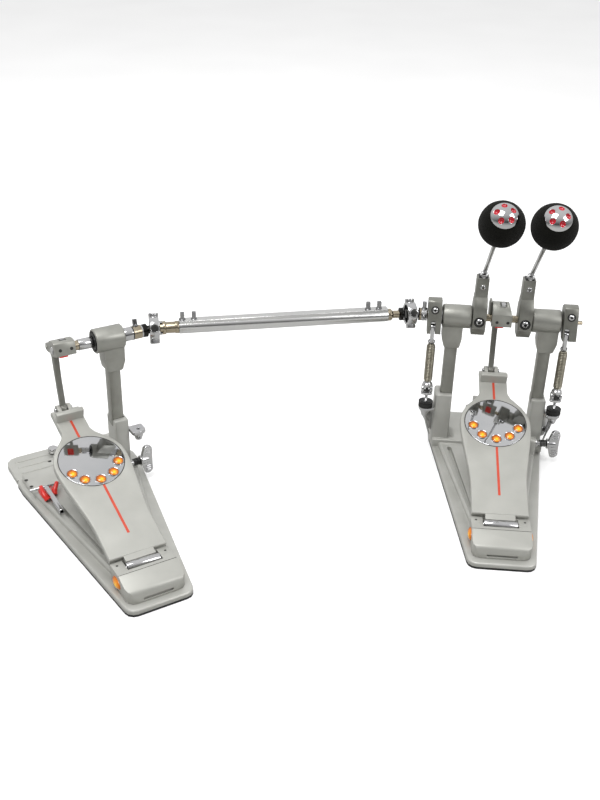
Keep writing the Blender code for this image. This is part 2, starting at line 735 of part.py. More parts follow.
def make_holder(name, centre, shaft_hole, axis):
    """The beater holder: a thick hub round the shaft, and a thinner block that grips the leaning rod."""
    side = rounded([
        (-0.0185, -0.0130), (-0.0100, -0.0235), (0.0080, -0.0235), (0.0165, -0.0130), (0.0165, 0.0180, 0.003),
        (0.0088, 0.0300, 0.003), (0.0088, ROD_EXIT_Z), (-0.0082, ROD_EXIT_Z), (-0.0082, 0.0350, 0.002),
        (-0.0165, 0.0240), (-0.0185, 0.0140),
    ], 2)
    block = prism(name, side, centre - HOLDER_HALF, centre + HOLDER_HALF, "X", axis, PAINT)
    front = [
        (-0.0120, -0.0300), (0.0120, -0.0300), (0.0120, 0.0240), (0.0088, 0.0360), (0.0086, 0.0700),
        (-0.0086, 0.0700), (-0.0088, 0.0360), (-0.0120, 0.0240),
    ]
    front = [(x + centre, z) for x, z in front]
    change(block, prism(name + "_front", front, -0.03, 0.03, "Y", axis), "INTERSECT")
    rod_hole = cylinder(name + "_rod_hole", ROD_RADIUS + GAP, -0.05, 0.05, (centre, 0), "Z", axis, None, 16)
    rod_hole.rotation_euler = (ROD_LEAN, 0, 0)
    rod_hole.location = (0, 0, ROD_EXIT_Z)
    bolt_seat = cylinder(name + "_bolt_seat", 0.0062, -0.0300, -0.0150, (centre, 0.0), "Y", axis, None, 20)
    return cut(block, rod_hole, bolt_seat, shaft_hole)


def lean_frame(name, centre, axis):
    """An empty on the rod's line where it leaves the holder, with +Z along the rod."""
    return empty(name, (centre, 0, ROD_EXIT_Z), (ROD_LEAN, 0, 0), axis)


def make_beater(tag, centre, axis):
    """The rod, the felt head threaded on it and the chrome cap that closes the head."""
    lean = lean_frame(tag + "_beater_lean", centre, axis)
    middle = BEATER_REACH
    name = tag + "_beater_rod"
    cylinder(name, ROD_RADIUS, -0.0090, middle + 0.0150, (0, 0), "Z", lean, CHROME, 16, bevel=0.0004)
    bore = ROD_RADIUS + GAP
    seat_radius = (HEAD_RADIUS**2 - CAP_SEAT**2) ** 0.5
    angles = [pi * step / 14 for step in range(2, 12)]
    rings = [(-HEAD_RADIUS * cos(angle), HEAD_RADIUS * sin(angle)) for angle in angles]
    rings = [ring for ring in rings if ring[0] < CAP_SEAT - 0.001]
    foot = (HEAD_RADIUS**2 - 0.0095**2) ** 0.5
    # The bore is blind, so the profile starts at its bottom and comes back over the top.
    profile = [(0.0160, 0.0), (0.0160, bore), (-foot, bore), (-foot, 0.0095)] + rings
    profile += [(CAP_SEAT, seat_radius), (CAP_SEAT, 0.0)]
    profile = [(middle + along, radius) for along, radius in profile]
    turned(tag + "_beater_head", profile, "Z", (0, 0), lean, FELT, 28)
    rise = 0.0092
    dome = (CAP_RADIUS**2 + rise**2) / (2 * rise)
    reach = atan2(CAP_RADIUS, dome - rise)
    curve = [
        (CAP_SEAT + GAP + 0.0008 + rise - dome + dome * cos(reach * step / 6), dome * sin(reach * step / 6))
        for step in range(7)
    ]
    cap = curve + [(CAP_SEAT + GAP, CAP_RADIUS), (CAP_SEAT + GAP, 0.0)]
    cap = [(middle + along, radius) for along, radius in cap]
    turned(tag + "_beater_cap", cap, "Z", (0, 0), lean, CHROME, 28)


# ---------------------------------------------------------------- springs


def make_rocker(name, side, shaft_hole, axis):
    """The spring rocker: a slotted arm on the shaft, with a pin across its slot."""
    centre = side * ROCKER_X
    profile = rounded([
        (-0.0255, -0.0205, 0.002), (-0.0100, -0.0205, 0.003),
        (0.0120, -0.0080, 0.004), (0.0120, 0.0210, 0.004),
        (0.0020, 0.0275, 0.004), (-0.0110, 0.0270, 0.004), (-0.0150, 0.0160, 0.004),
    ], 2)
    arm = prism(name, profile, centre - ROCKER_HALF, centre + ROCKER_HALF, "X", axis, DARK)
    middle = side * SPRING_X[side]
    low, high = (middle - 0.0034, -0.0400, -0.0300), (middle + 0.0034, -0.0115, -0.0020)
    cut(arm, box(name + "_slot", low, high, axis))
    place = (SPRING_Y, HOOK_PIN_Z)
    fuse(arm, cylinder(name + "_pin", 0.0018, centre - 0.0080, centre + 0.0080, place, "X", axis, None, 12))
    return cut(arm, shaft_hole)


def make_spring_hook(name, side, axis):
    """The strap that hangs on the rocker's pin and holds the top of the spring."""
    middle = side * SPRING_X[side]
    bottom = COIL_TOP - AXLE_Z + 0.0062
    outline = capsule((SPRING_Y, HOOK_PIN_Z), (SPRING_Y, bottom), 0.0036, 0.0042, 6)
    strap = prism(name, outline, middle - 0.0026, middle + 0.0026, "X", axis, CHROME)
    low, high = middle - 0.01, middle + 0.01
    for tag, radius, z in (("_pin_hole", 0.0018 + GAP, HOOK_PIN_Z), ("_eye", 0.0022, bottom)):
        cut(strap, cylinder(name + tag, radius, low, high, (SPRING_Y, z), "X", axis, None, 12))
    return strap


def tube(name, points, radius, parent, look, resolution=2, closed_ends=True):
    curve = bpy.data.curves.new(name, "CURVE")
    curve.dimensions = "3D"
    curve.bevel_depth = radius
    curve.bevel_resolution = resolution
    curve.use_fill_caps = closed_ends
    spline = curve.splines.new("POLY")
    spline.points.add(len(points) - 1)
    for point, place in zip(spline.points, points):
        point.co = (*place, 1.0)
    curve.materials.append(look)
    made = bpy.data.objects.new(name, curve)
    made.parent = parent
    PARTS.objects.link(made)
    return made


def make_spring(name, side, parent):
    """A close helix between the swivel and the hook."""
    per_turn = 7
    count = COIL_TURNS * per_turn
    low = COIL_BOTTOM + COIL_WIRE
    height = COIL_TOP - COIL_WIRE - low
    points = []
    for step in range(count + 1):
        angle = 2 * pi * step / per_turn
        x = side * SPRING_X[side] + COIL_RADIUS * cos(angle)
        points.append((x, SPRING_Y + COIL_RADIUS * sin(angle), low + height * step / count))
    return tube(name, points, COIL_WIRE, parent, BRONZE)


def make_tension_rod(name, side, parent):
    """The rod through the bracket, with the swivel that holds the bottom of the spring."""
    top = COIL_BOTTOM - 0.0004
    profile = [
        (0.0600, 0.0), (0.0600, 0.0018), (0.1000, 0.0018),
        (0.1015, 0.0060), (0.1050, 0.0080), (0.1120, 0.0080),
        (0.1140, 0.0062), (top - 0.0010, 0.0062), (top, 0.0050), (top, 0.0),
    ]
    return turned(name, profile, "Z", (side * SPRING_X[side], SPRING_Y), parent, CHROME, 16)


def make_tension_knob(name, side, parent):
    """The knob that draws the tension rod down through the bracket."""
    low, high = KNOB_Z
    centre = (side * SPRING_X[side], SPRING_Y)
    knob = cylinder(name, KNOB_RADIUS, low, high, centre, "Z", parent, RUBBER, 24, bevel=0.001)
    hole = cylinder(name + "_hole", 0.0018 + GAP, 0.05, 0.10, centre, "Z", parent, None, 12)
    return cut(knob, hole)


# ---------------------------------------------------------------- shafts and joints


def fork_shape(name, stem, facing, slot_along_y, axis, look):
    """A turned stem that ends in a two-pronged fork at x = 0, where the joint's centre is.

    The stem is (x, radius) from the fork backwards, and facing is 1 where the fork opens towards +X.
    """
    tip = facing * FORK_REACH
    profile = [(tip, 0.0), (tip, FORK_RADIUS)] + list(stem)
    if facing > 0:
        profile = profile[::-1]
    body = turned(name, profile, "X", (0, 0), axis, look, 24)
    low, high = sorted((facing * -0.0120, facing * 0.0300))
    across = FORK_SLOT
    if slot_along_y:
        slot = box(name + "_fork_slot", (low, -0.02, -across), (high, 0.02, across), axis, None)
    else:
        slot = box(name + "_fork_slot", (low, -across, -0.02), (high, across, 0.02), axis, None)
    slot.rotation_euler = (JOINT_PHASE, 0, 0)
    return cut(body, slot)


def make_cross(name, axis):
    """The joint's outer ring, with four bosses for its trunnions."""
    disc = cylinder(name, CROSS_OUTER, -CROSS_HALF, CROSS_HALF, (0, 0), "X", axis, CHROME, 24, bevel=0.001)
    for index in range(4):
        angle = JOINT_PHASE + pi / 2 * index
        place = Matrix.Rotation(angle, 4, "X")
        tag = "%s_lobe_%d" % (name, index)
        low, high = LOBE_OUT - 0.0040, 0.0215
        fuse(disc, cylinder(tag, LOBE_RADIUS, low, high, (0, 0), "Z", axis, None, 12, place, 0.0012))
    return cut(disc, cylinder(name + "_bore", CROSS_INNER, -0.05, 0.05, (0, 0), "X", axis, None, 24))


def make_drive_shaft():
    """Everything that turns about the drive shaft's own axis, drawn with the main joint at x = 0."""
    length = SHAFT_LENGTH
    low, high = -length + SLEEVE_SETBACK, -SLEEVE_SETBACK
    name = "drive_shaft_sleeve"
    sleeve = cylinder(name, SLEEVE_RADIUS, low, high, (0, 0), "X", SHAFT, SATIN, 24, bevel=0.0006)
    foot = (low + 0.0004, -0.0065, 0.0050)
    fuse(sleeve, box("sleeve_rail", foot, (high - 0.0004, 0.0065, 0.0112), SHAFT, None, 0.0006, 1))
    cut(sleeve, cylinder("sleeve_bore", INNER_RADIUS + GAP, -1.0, 1.0, (0, 0), "X", SHAFT, None, 24))
    collar = SLEEVE_SETBACK - GAP
    stem = [
        (-0.0160, FORK_RADIUS), (-0.0175, 0.0055), (-collar + 0.0075, 0.0055), (-collar + 0.0045, 0.0088),
        (-collar, 0.0088), (-collar, INNER_RADIUS), (-INNER_LENGTH, INNER_RADIUS), (-INNER_LENGTH, 0.0),
    ]
    fork_shape("main_inner_shaft", stem, 1, True, SHAFT, BRONZE)
    far = empty("slave_joint_axis", (-length, 0, 0), (0, 0, 0), SHAFT)
    fork_shape("slave_inner_shaft", [(-x, radius) for x, radius in stem], -1, True, far, BRONZE)
    make_cross("main_joint_cross", SHAFT)
    make_cross("slave_joint_cross", far)


def make_main_shafts(main_axis):
    """The two coaxial shafts of the main pedal: the tubular one of the left beater, and the hex axle."""
    joint = empty("main_joint_axis", (MAIN_JOINT_X, 0, AXLE_Z), (0, 0, 0), MAIN)
    start = -MAIN_JOINT_X
    hub = HOLDER_X - HOLDER_HALF + 0.0002
    stem = [
        (0.0150, FORK_RADIUS), (0.0165, 0.0090), (0.0235, 0.0090), (0.0235, SHAFT_RADIUS),
        (start - hub, SHAFT_RADIUS), (start - hub, 0.0),
    ]
    shaft = fork_shape("left_beater_shaft", stem, -1, False, joint, BRONZE)
    pilot_end = HOLDER_X + 0.0040
    cut(shaft, cylinder("pilot_hole", 0.0033, start - pilot_end, 0.2, (0, 0), "X", joint, None, 16))
    profile = [
        (-pilot_end + 0.0010, 0.0), (-pilot_end + 0.0010, 0.0030),
        (-hub + 0.0012, 0.0030), (-hub + 0.0012, HEX_RADIUS),
        (ROCKER_X + ROCKER_HALF - 0.0004, HEX_RADIUS), (ROCKER_X + ROCKER_HALF - 0.0004, 0.0030),
        (0.1165, 0.0030), (0.1165, 0.0),
    ]
    turned("main_axle", profile, "X", (0, 0), main_axis, BRONZE, 6)


def make_slave_axle():
    """The slave pedal's axle: hex in the cam, round in the bearing, and forked at the joint."""
    joint = empty("slave_fork_axis", (SLAVE_JOINT_X, 0, AXLE_Z), (0, 0, 0), SLAVE)
    swing = linkage(SLAVE_PRESS)[0]
    start = SLAVE_JOINT_X
    stem = [
        (-0.0150, FORK_RADIUS), (-0.0165, 0.0091), (0.0865 - start, 0.0091), (0.0860 - start, SHAFT_RADIUS),
        (0.0405 - start, SHAFT_RADIUS), (0.0405 - start, 0.0078),
        (0.0215 - start, 0.0078), (0.0215 - start, 0.0),
    ]
    shaft = fork_shape("slave_axle", stem, 1, False, joint, CHROME)
    bar = cylinder("slave_hex", HEX_RADIUS, -0.0155 - start, 0.0230 - start, (0, 0), "X", joint, None, 6)
    bar.rotation_euler = (swing, 0, 0)
    return fuse(shaft, bar)


# ---------------------------------------------------------------- clamps and the drum key


def make_wing_bolt(name, parent, tip):
    """A wing bolt along X, with its wings in the X-Z plane."""
    axis = empty(name + "_axis", (0, WING_Y, WING_Z), (0, 0, 0), parent)
    profile = [
        (tip, 0.0), (tip + 0.0040, 0.0035), (0.0720, 0.0035),
        (0.0720, 0.0070), (0.0760, 0.0070), (0.0760, 0.0045),
        (0.0880, 0.0045), (0.0880, 0.0062), (0.0985, 0.0058), (0.1000, 0.0040), (0.1000, 0.0),
    ]
    bolt = turned(name, profile, "X", (0, 0), axis, CHROME, 16)
    wings = rounded([
        (0.0900, -0.0040), (0.0900, -0.0090, 0.003),
        (0.0940, -WING_REACH, 0.003), (0.1060, -WING_REACH + 0.001, 0.005),
        (0.1050, -0.0090, 0.004), (0.0985, -0.0040, 0.003), (0.0985, 0.0040, 0.003), (0.1050, 0.0090, 0.004),
        (0.1060, WING_REACH - 0.001, 0.005), (0.0940, WING_REACH, 0.003),
        (0.0900, 0.0090, 0.003), (0.0900, 0.0040),
    ], 3)
    return fuse(bolt, prism(name + "_wings", wings, -0.0032, 0.0032, "Y", axis))


def make_hoop_jaw():
    """The clamp lever: its drum end presses the hoop on the base's tongue, pushed by the bolt."""
    axis = empty("hoop_clamp_axis", (0, CLAMP_PIN_Y, CLAMP_PIN_Z), (0, 0, 0), MAIN)
    outline = rounded([
        (-0.0850, -0.0060, 0.002), (-0.0100, -0.0070), (0.0200, -0.0060, 0.004), (0.0440, -0.0125, 0.003),
        (0.0580, -0.0125, 0.003), (0.0560, -0.0040, 0.006), (0.0200, 0.0080, 0.008), (-0.0100, 0.0070, 0.006),
        (-0.0850, 0.0020, 0.002),
    ], 3)
    jaw = prism("hoop_clamp_jaw", outline, -0.0145, 0.0145, "X", axis, PAINT)
    return fuse(jaw, cylinder("jaw_pin", 0.0029, -0.0210, 0.0210, (0, 0), "X", axis, None, 12))


def make_key_clip_and_key():
    """The drum key held on the slave pedal's flank, and the red clip that grips it."""
    foot = (-0.0600, -0.0350, FLANK_TOP + GAP)
    clip = box("key_clip", foot, (-0.0385, -0.0140, FLANK_TOP + 0.0024), SLAVE, RED)
    for index, x in enumerate((-0.0600, -0.0421)):
        low = (x, -0.0340, FLANK_TOP + 0.0010)
        high = (x + 0.0036, -0.0240, FLANK_TOP + 0.0140)
        fuse(clip, box("clip_arm_%d" % index, low, high, SLAVE, None, 0.0015))
    low = FLANK_TOP + 0.0030
    key = box("drum_key", (-0.0530, -0.0860, low), (-0.0460, -0.0225, low + 0.0070), SLAVE, CHROME, 0.0008, 1)
    bar = cylinder("key_bar", 0.0020, -0.0720, -0.0270, (-0.0180, low + 0.0035), "X", SLAVE, None, 12)
    neck = box("key_neck", (-0.0515, -0.0240, low + 0.0008), (-0.0475, -0.0170, low + 0.0062), SLAVE)
    fuse(key, neck, bar)
    socket = box("key_socket", (-0.0518, -0.0900, low + 0.0012), (-0.0472, -0.0760, low + 0.0058), SLAVE)
    return cut(key, socket)


# ---------------------------------------------------------------- assembly


def make_pedal(tag, frame, press, tall):
    """What both pedals share: heel block, hinge, footboard, cam and link, with the board pressed or not."""
    swing, link_turn = linkage(press)
    make_heel_block(tag + "_heel_block", frame)
    board_axis = empty(tag + "_footboard_axis", (0, HINGE_Y, HINGE_Z), (INCLINE + press, 0, 0), frame)
    make_footboard(tag + "_footboard", board_axis)
    make_toe_plate(tag + "_toe_plate", board_axis)
    make_hinge_pin(tag + "_hinge_pin", board_axis)
    make_clevis_pin(tag + "_clevis_pin", board_axis)
    axle_axis = empty(tag + "_axle_axis", (0, 0, AXLE_Z), (swing, 0, 0), frame)
    make_cam(tag + "_cam", axle_axis, tall)
    link_axis = empty(tag + "_link_axis", (0, *cam_pin(swing)), (link_turn, 0, 0), frame)
    make_link(tag + "_link", link_axis)
    return axle_axis


def main():
    make_main_base()
    make_mat("main_rubber_mat", FLANK_SPLAY, FLANK_SPLAY, BASE_BACK, MAIN)
    main_axis = make_pedal("main", MAIN, 0.0, True)
    make_slave_base()
    make_mat("slave_rubber_mat", SLAVE_LEFT_SPLAY, SLAVE_RIGHT_SPLAY, SLAVE_BACK, SLAVE)
    make_stabiliser()
    make_pedal("slave", SLAVE, SLAVE_PRESS, False)

    left_axis = empty("left_beater_axis", (0, 0, AXLE_Z), (0, 0, 0), MAIN)
    shafts = ((-1, "left", left_axis, SHAFT_RADIUS), (1, "right", main_axis, HEX_RADIUS))
    for side, tag, axis, shaft in shafts:
        make_upright(tag + "_upright", side, MAIN)
        make_bearing(tag + "_bearing", side, shaft, MAIN)
        make_bracket(tag + "_spring_bracket", side, MAIN)
        sides = 6 if tag == "right" else 24
        hole = cylinder(tag + "_shaft_hole", shaft + GAP * 1.2, -0.2, 0.2, (0, 0), "X", axis, None, sides)
        make_holder(tag + "_beater_holder", side * HOLDER_X, hole, axis)
        make_beater(tag, side * HOLDER_X, axis)
        make_rocker(tag + "_spring_rocker", side, hole, axis)
        make_spring_hook(tag + "_spring_hook", side, axis)
        make_spring(tag + "_spring", side, MAIN)
        make_tension_rod(tag + "_tension_rod", side, MAIN)
        make_tension_knob(tag + "_tension_knob", side, MAIN)
    make_main_shafts(main_axis)

    make_upright("slave_upright", 1, SLAVE)
    make_bearing("slave_bearing", 1, SHAFT_RADIUS, SLAVE)
    make_bracket("slave_spring_bracket", 1, SLAVE)
    make_slave_axle()
    make_drive_shaft()

    make_wing_bolt("hoop_clamp_wing_bolt", MAIN, 0.0160)
    make_wing_bolt("slave_wing_bolt", SLAVE, 0.0520)
    make_hoop_jaw()
    make_key_clip_and_key()


main()
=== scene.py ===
"""The double bass drum pedal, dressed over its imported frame: paint, chrome, felt and the small fittings."""

import json
from math import cos, exp, pi, radians, sin, tan

import bmesh
import bpy
from mathutils import Matrix, Vector, noise


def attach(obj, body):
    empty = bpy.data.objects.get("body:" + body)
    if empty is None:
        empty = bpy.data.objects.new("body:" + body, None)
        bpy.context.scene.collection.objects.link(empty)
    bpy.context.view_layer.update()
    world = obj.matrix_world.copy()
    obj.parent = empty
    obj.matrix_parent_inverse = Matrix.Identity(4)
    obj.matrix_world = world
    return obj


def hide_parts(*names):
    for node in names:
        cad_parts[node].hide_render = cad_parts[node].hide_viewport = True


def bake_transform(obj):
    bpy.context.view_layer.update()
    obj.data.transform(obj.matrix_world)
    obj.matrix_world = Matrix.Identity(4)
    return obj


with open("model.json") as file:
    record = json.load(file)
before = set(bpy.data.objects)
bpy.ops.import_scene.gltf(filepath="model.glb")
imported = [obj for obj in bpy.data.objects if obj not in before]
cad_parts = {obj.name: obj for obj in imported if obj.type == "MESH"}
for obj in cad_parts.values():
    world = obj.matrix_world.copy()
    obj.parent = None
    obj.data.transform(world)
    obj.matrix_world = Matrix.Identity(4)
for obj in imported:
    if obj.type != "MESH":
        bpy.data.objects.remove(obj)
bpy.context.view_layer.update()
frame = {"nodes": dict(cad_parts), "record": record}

# The same measures as the CAD model, in metres and radians.
AXLE_Z = 0.2207
HINGE_Y = -0.247
HINGE_Z = 0.0305
INCLINE = 0.3329
SLAVE_PRESS = radians(-1.75)
SLAVE_SWING = radians(-15.842)
BOARD_TOP = 0.0038
PLATE_TOP = 0.0041
PLATE_ALONG = 0.1768
HOLDER_X = 0.0328
ROD_LEAN = radians(46.1)
ROD_EXIT_Z = 0.064
BEATER_REACH = 0.1776
HEAD_RADIUS = 0.0299
HEAD_FOOT_RADIUS = 0.0095
CAP_RADIUS = 0.0176
CAP_SEAT = 0.024
CAP_RISE = 0.0092
HOUSING_X = 0.0641
HOUSING_HALF = 0.0207
ROCKER_X = 0.097
SPRING_X = {-1: 0.0985, 1: 0.0925}
SPRING_Y = -0.019
COIL_TOP = 0.1815
COIL_BOTTOM = 0.122
COIL_RADIUS = 0.0052
KNOB_Z = (0.0793, 0.0878)
KNOB_RADIUS = 0.0105
BRACKET_Z = (0.0742, 0.0787)
BRACKET_ROD = ((0.001, -0.02, 0.064), (0.002, -0.0185, 0.054), (0.006, -0.017, 0.04))
SOCKET_OUTER_X = {-1: 0.085, 1: 0.0805}
MAIN_JOINT_X = -0.132
SLAVE_JOINT_X = 0.133
SLAVE_ORIGIN = (-0.5987, -0.1754, 0.0)
SLAVE_YAW = 0.6186
SHAFT_YAW = radians(15.336)
SHAFT_LENGTH = 0.37158
SLEEVE_SETBACK = 0.0345
RAIL_TOP = 0.0112
JOINT_PHASE = -0.44
FLANK_TOP = 0.0175
WING_Y = -0.032
WING_Z = 0.033
LINK_X = -0.0045
CLEVIS_HALF = 0.0115
PIVOT_ALONG = 0.2731
PIVOT_ABOVE = 0.0118
COLLAR_X = -0.112

# Places across and along each footboard.
JEWEL_RADIUS = 0.0069
MAIN_JEWELS = ((-0.032, 0.1702), (-0.02, 0.1532), (0.0, 0.1467), (0.019, 0.1532), (0.032, 0.1682))
SLAVE_JEWELS = ((-0.032, 0.1632), (-0.02, 0.1482), (0.0, 0.1422), (0.02, 0.1482), (0.033, 0.1642))
STRIPES = ((0.047, 0.1318), (0.2224, 0.2556))

# The camera, and what the studio shows to it.
CAMERA_AT = (-0.1958, -1.3735, 0.8411)
CAMERA_TURN = (-0.0684, 0.5137, 0.027)
SENSOR_HEIGHT = 36.0
LENS = 45.9972
BACKDROP = (0.93, 0.93, 0.93, 1.0)
SKY = ((0.0, 0.1), (0.36, 0.12), (0.56, 0.5), (0.76, 0.86), (1.0, 1.0))
PAPER = (0.46, 0.46, 0.45, 1.0)
NEAR_JOINT_BLACK = (0.03, 0.03, 0.028)


def shift(x, y, z):
    return Matrix.Translation((x, y, z))


def turn_about(angle, axis):
    return Matrix.Rotation(angle, 4, axis)


def board_frame(pedal, press):
    """The footboard's own frame: X across it, Y from the hinge to the toe and Z out of its top."""
    return pedal @ shift(0, HINGE_Y, HINGE_Z) @ turn_about(INCLINE + press, "X")


MAIN = Matrix.Identity(4)
SLAVE = shift(*SLAVE_ORIGIN) @ turn_about(SLAVE_YAW, "Z")
MAIN_AXLE = shift(0, 0, AXLE_Z)
SLAVE_AXLE = SLAVE @ shift(0, 0, AXLE_Z) @ turn_about(SLAVE_SWING, "X")
MAIN_BOARD = board_frame(MAIN, 0.0)
SLAVE_BOARD = board_frame(SLAVE, SLAVE_PRESS)
SHAFT = shift(MAIN_JOINT_X, 0, AXLE_Z) @ turn_about(SHAFT_YAW, "Z")
SHAFT_END = SHAFT @ shift(-SHAFT_LENGTH, 0, 0)
FACING_HEEL = turn_about(pi / 2, "X")
ALONG_X = turn_about(pi / 2, "Y")
UPRIGHT = Matrix(((1, 0, 0, 0), (0, 0, -1, 0), (0, 1, 0, 0), (0, 0, 0, 1)))
SIDE_ON = Matrix(((0, 0, 1, 0), (1, 0, 0, 0), (0, 1, 0, 0), (0, 0, 0, 1)))
WING_FLAT = Matrix(((0, 1, 0, 0), (0, 0, 1, 0), (1, 0, 0, 0), (0, 0, 0, 1)))
MAIN_JOINT_AT = (MAIN_JOINT_X, 0.0, AXLE_Z)
SLAVE_JOINT_AT = tuple(SLAVE @ Vector((SLAVE_JOINT_X, 0, AXLE_Z)))


# ---------------------------------------------------------------- materials


def set_inputs(node, **values):
    """Sets a node's inputs, each by its name in lower case with _ for a space."""
    for name, value in values.items():
        node.inputs[name.replace("_", " ").title()].default_value = value


def add_node(tree, kind, **values):
    made = tree.nodes.new("ShaderNode" + kind)
    set_inputs(made, **values)
    return made


def place_output(tree):
    return add_node(tree, "TexCoord").outputs["Object"]


def noise_node(tree, scale, detail):
    grain = add_node(tree, "TexNoise", scale=scale, detail=detail)
    tree.links.new(place_output(tree), grain.inputs["Vector"])
    return grain.outputs["Fac"]


def map_range(tree, value, **limits):
    span = add_node(tree, "MapRange", **limits)
    tree.links.new(value, span.inputs["Value"])
    return span.outputs["Result"]


def mix_colours(tree, factor, first, second):
    """Mixes two colours, each a node's output or a plain colour."""
    mix = add_node(tree, "Mix")
    mix.data_type = "RGBA"
    tree.links.new(factor, mix.inputs["Factor"])
    for name, colour in (("A", first), ("B", second)):
        if isinstance(colour, tuple):
            mix.inputs[name].default_value = (*colour, 1.0)
        else:
            tree.links.new(colour, mix.inputs[name])
    return mix.outputs["Result"]


def colour_stops(tree, factor, stops):
    ramp = add_node(tree, "ValToRGB")
    while len(ramp.color_ramp.elements) < len(stops):
        ramp.color_ramp.elements.new(0.5)
    for element, (position, colour) in zip(ramp.color_ramp.elements, stops):
        element.position = position
        element.color = (*colour, 1.0)
    tree.links.new(factor, ramp.inputs["Fac"])
    return ramp.outputs["Color"]


def vector_math(tree, operation, first):
    made = add_node(tree, "VectorMath")
    made.operation = operation
    tree.links.new(first, made.inputs[0])
    return made


def add_bump(tree, shader, height, strength, distance, normal=None):
    relief = add_node(tree, "Bump", strength=strength, distance=distance)
    tree.links.new(height, relief.inputs["Height"])
    if normal:
        tree.links.new(normal, relief.inputs["Normal"])
    tree.links.new(relief.outputs["Normal"], shader.inputs["Normal"])


def edge_mask(tree, rounded_normal):
    """1 along rounded edges, where the rounded normal leaves the true one, and 0 on flat faces: where rubbed
    wear and a painted highlight go.
    """
    dot = vector_math(tree, "DOT_PRODUCT", rounded_normal)
    tree.links.new(add_node(tree, "NewGeometry").outputs["Normal"], dot.inputs[1])
    return map_range(tree, dot.outputs["Value"], from_min=0.995, from_max=0.86)


def new_material(name):
    made = bpy.data.materials.new(name)
    made.use_nodes = True
    return made, made.node_tree, made.node_tree.nodes["Principled BSDF"]


def surface(name, colours, roughness, metallic, scale, edge, grain=900.0, bump=0.1, depth=0.0001, edge_wear_and_highlight=None,
            coat=0.0, sheen=0.0, specular=0.5, dark_round=None):
    """A procedural finish: mottled colour and roughness, a fine grain in the bump, and edges rounded by edge.

    The rubbed-edge colour lightens the edges with wear and a painted highlight, and dark_round is the centre
    and radius of an end that turns black.
    """
    made, tree, shader = new_material(name)
    set_inputs(shader, metallic=metallic, coat_weight=coat, coat_roughness=0.08, sheen_weight=sheen)
    shader.inputs["Specular IOR Level"].default_value = specular
    mottle = noise_node(tree, scale, 3.0)
    colour = colour_stops(tree, mottle, ((0.3, colours[0]), (0.7, colours[1])))
    rough = map_range(tree, mottle, to_min=roughness[0], to_max=roughness[1])
    tree.links.new(rough, shader.inputs["Roughness"])
    rounded_normal = None
    if edge:
        rounding = add_node(tree, "Bevel", radius=edge)
        rounding.samples = 4
        rounded_normal = rounding.outputs["Normal"]
        # Edges lightened for rubbed wear, and for a painted highlight along them.
        if edge_wear_and_highlight:
            colour = mix_colours(tree, edge_mask(tree, rounded_normal), colour, edge_wear_and_highlight)
    # Black within a radius of the given centre.
    if dark_round:
        away = vector_math(tree, "DISTANCE", place_output(tree))
        away.inputs[1].default_value = dark_round[0]
        radius = dark_round[1]
        outside = map_range(tree, away.outputs["Value"], from_min=radius, from_max=radius + 0.0003)
        colour = mix_colours(tree, outside, NEAR_JOINT_BLACK, colour)
    tree.links.new(colour, shader.inputs["Base Color"])
    add_bump(tree, shader, noise_node(tree, grain, 2.0), bump, depth, rounded_normal)
    return made


def forked(name, metal, centre, radius):
    """A bright shaft metal that turns black within a radius of the joint centre, at its forked end."""
    return surface(name, metal, (0.16, 0.26), 1.0, 40.0, grain=500.0, bump=0.03, edge=0.0004,
                   dark_round=(centre, radius))


def amber(name):
    """An amber lens over a foil, with painted light: deep orange with painted shade at its rim, a painted
    yellow spot placed by a per-point attribute, and a faint painted glow.
    """
    made, tree, shader = new_material(name)
    # A faint emission in the lens colours: a painted glow.
    set_inputs(shader, roughness=0.12, coat_weight=0.35, coat_roughness=0.03, emission_strength=0.05)
    painted_glow = add_node(tree, "Attribute")
    painted_glow.attribute_name = "painted_glow"
    colour = colour_stops(tree, painted_glow.outputs["Fac"], AMBER_SHADE_AND_GLOW_STOPS)
    tree.links.new(colour, shader.inputs["Base Color"])
    # The painted lens colours also glow.
    tree.links.new(colour, shader.inputs["Emission Color"])
    facets = add_node(tree, "TexVoronoi", scale=420.0)
    tree.links.new(place_output(tree), facets.inputs["Vector"])
    add_bump(tree, shader, facets.outputs["Distance"], 0.15, 0.0003)
    return made


# Lens colours from painted shade at the rim to a painted yellow spot.
AMBER_SHADE_AND_GLOW_STOPS = (
    (0.0, (0.26, 0.05, 0.002)), (0.35, (0.62, 0.165, 0.003)), (0.7, (0.9, 0.32, 0.005)),
    (1.0, (1.0, 0.66, 0.02)),
)
BRONZE_TONES = ((0.38, 0.325, 0.235), (0.48, 0.42, 0.32))
CHROME_TONES = ((0.54, 0.54, 0.55), (0.62, 0.62, 0.62))
# Each lighter edge colour below paints rubbed wear and a highlight along the edges.
PAINT = surface("satin_grey_paint", ((0.3, 0.3, 0.272), (0.355, 0.355, 0.325)), (0.34, 0.46), 0.55, 55.0,
                grain=1600.0, bump=0.14, depth=0.00008, edge=0.0009, edge_wear_and_highlight=(0.5, 0.5, 0.47), coat=0.15)
BOARD = surface("board_grey_paint", ((0.4, 0.4, 0.37), (0.44, 0.44, 0.408)), (0.4, 0.5), 0.35, 30.0,
                grain=1800.0, bump=0.1, depth=0.00008, edge=0.0009, edge_wear_and_highlight=(0.56, 0.56, 0.53), coat=0.1)
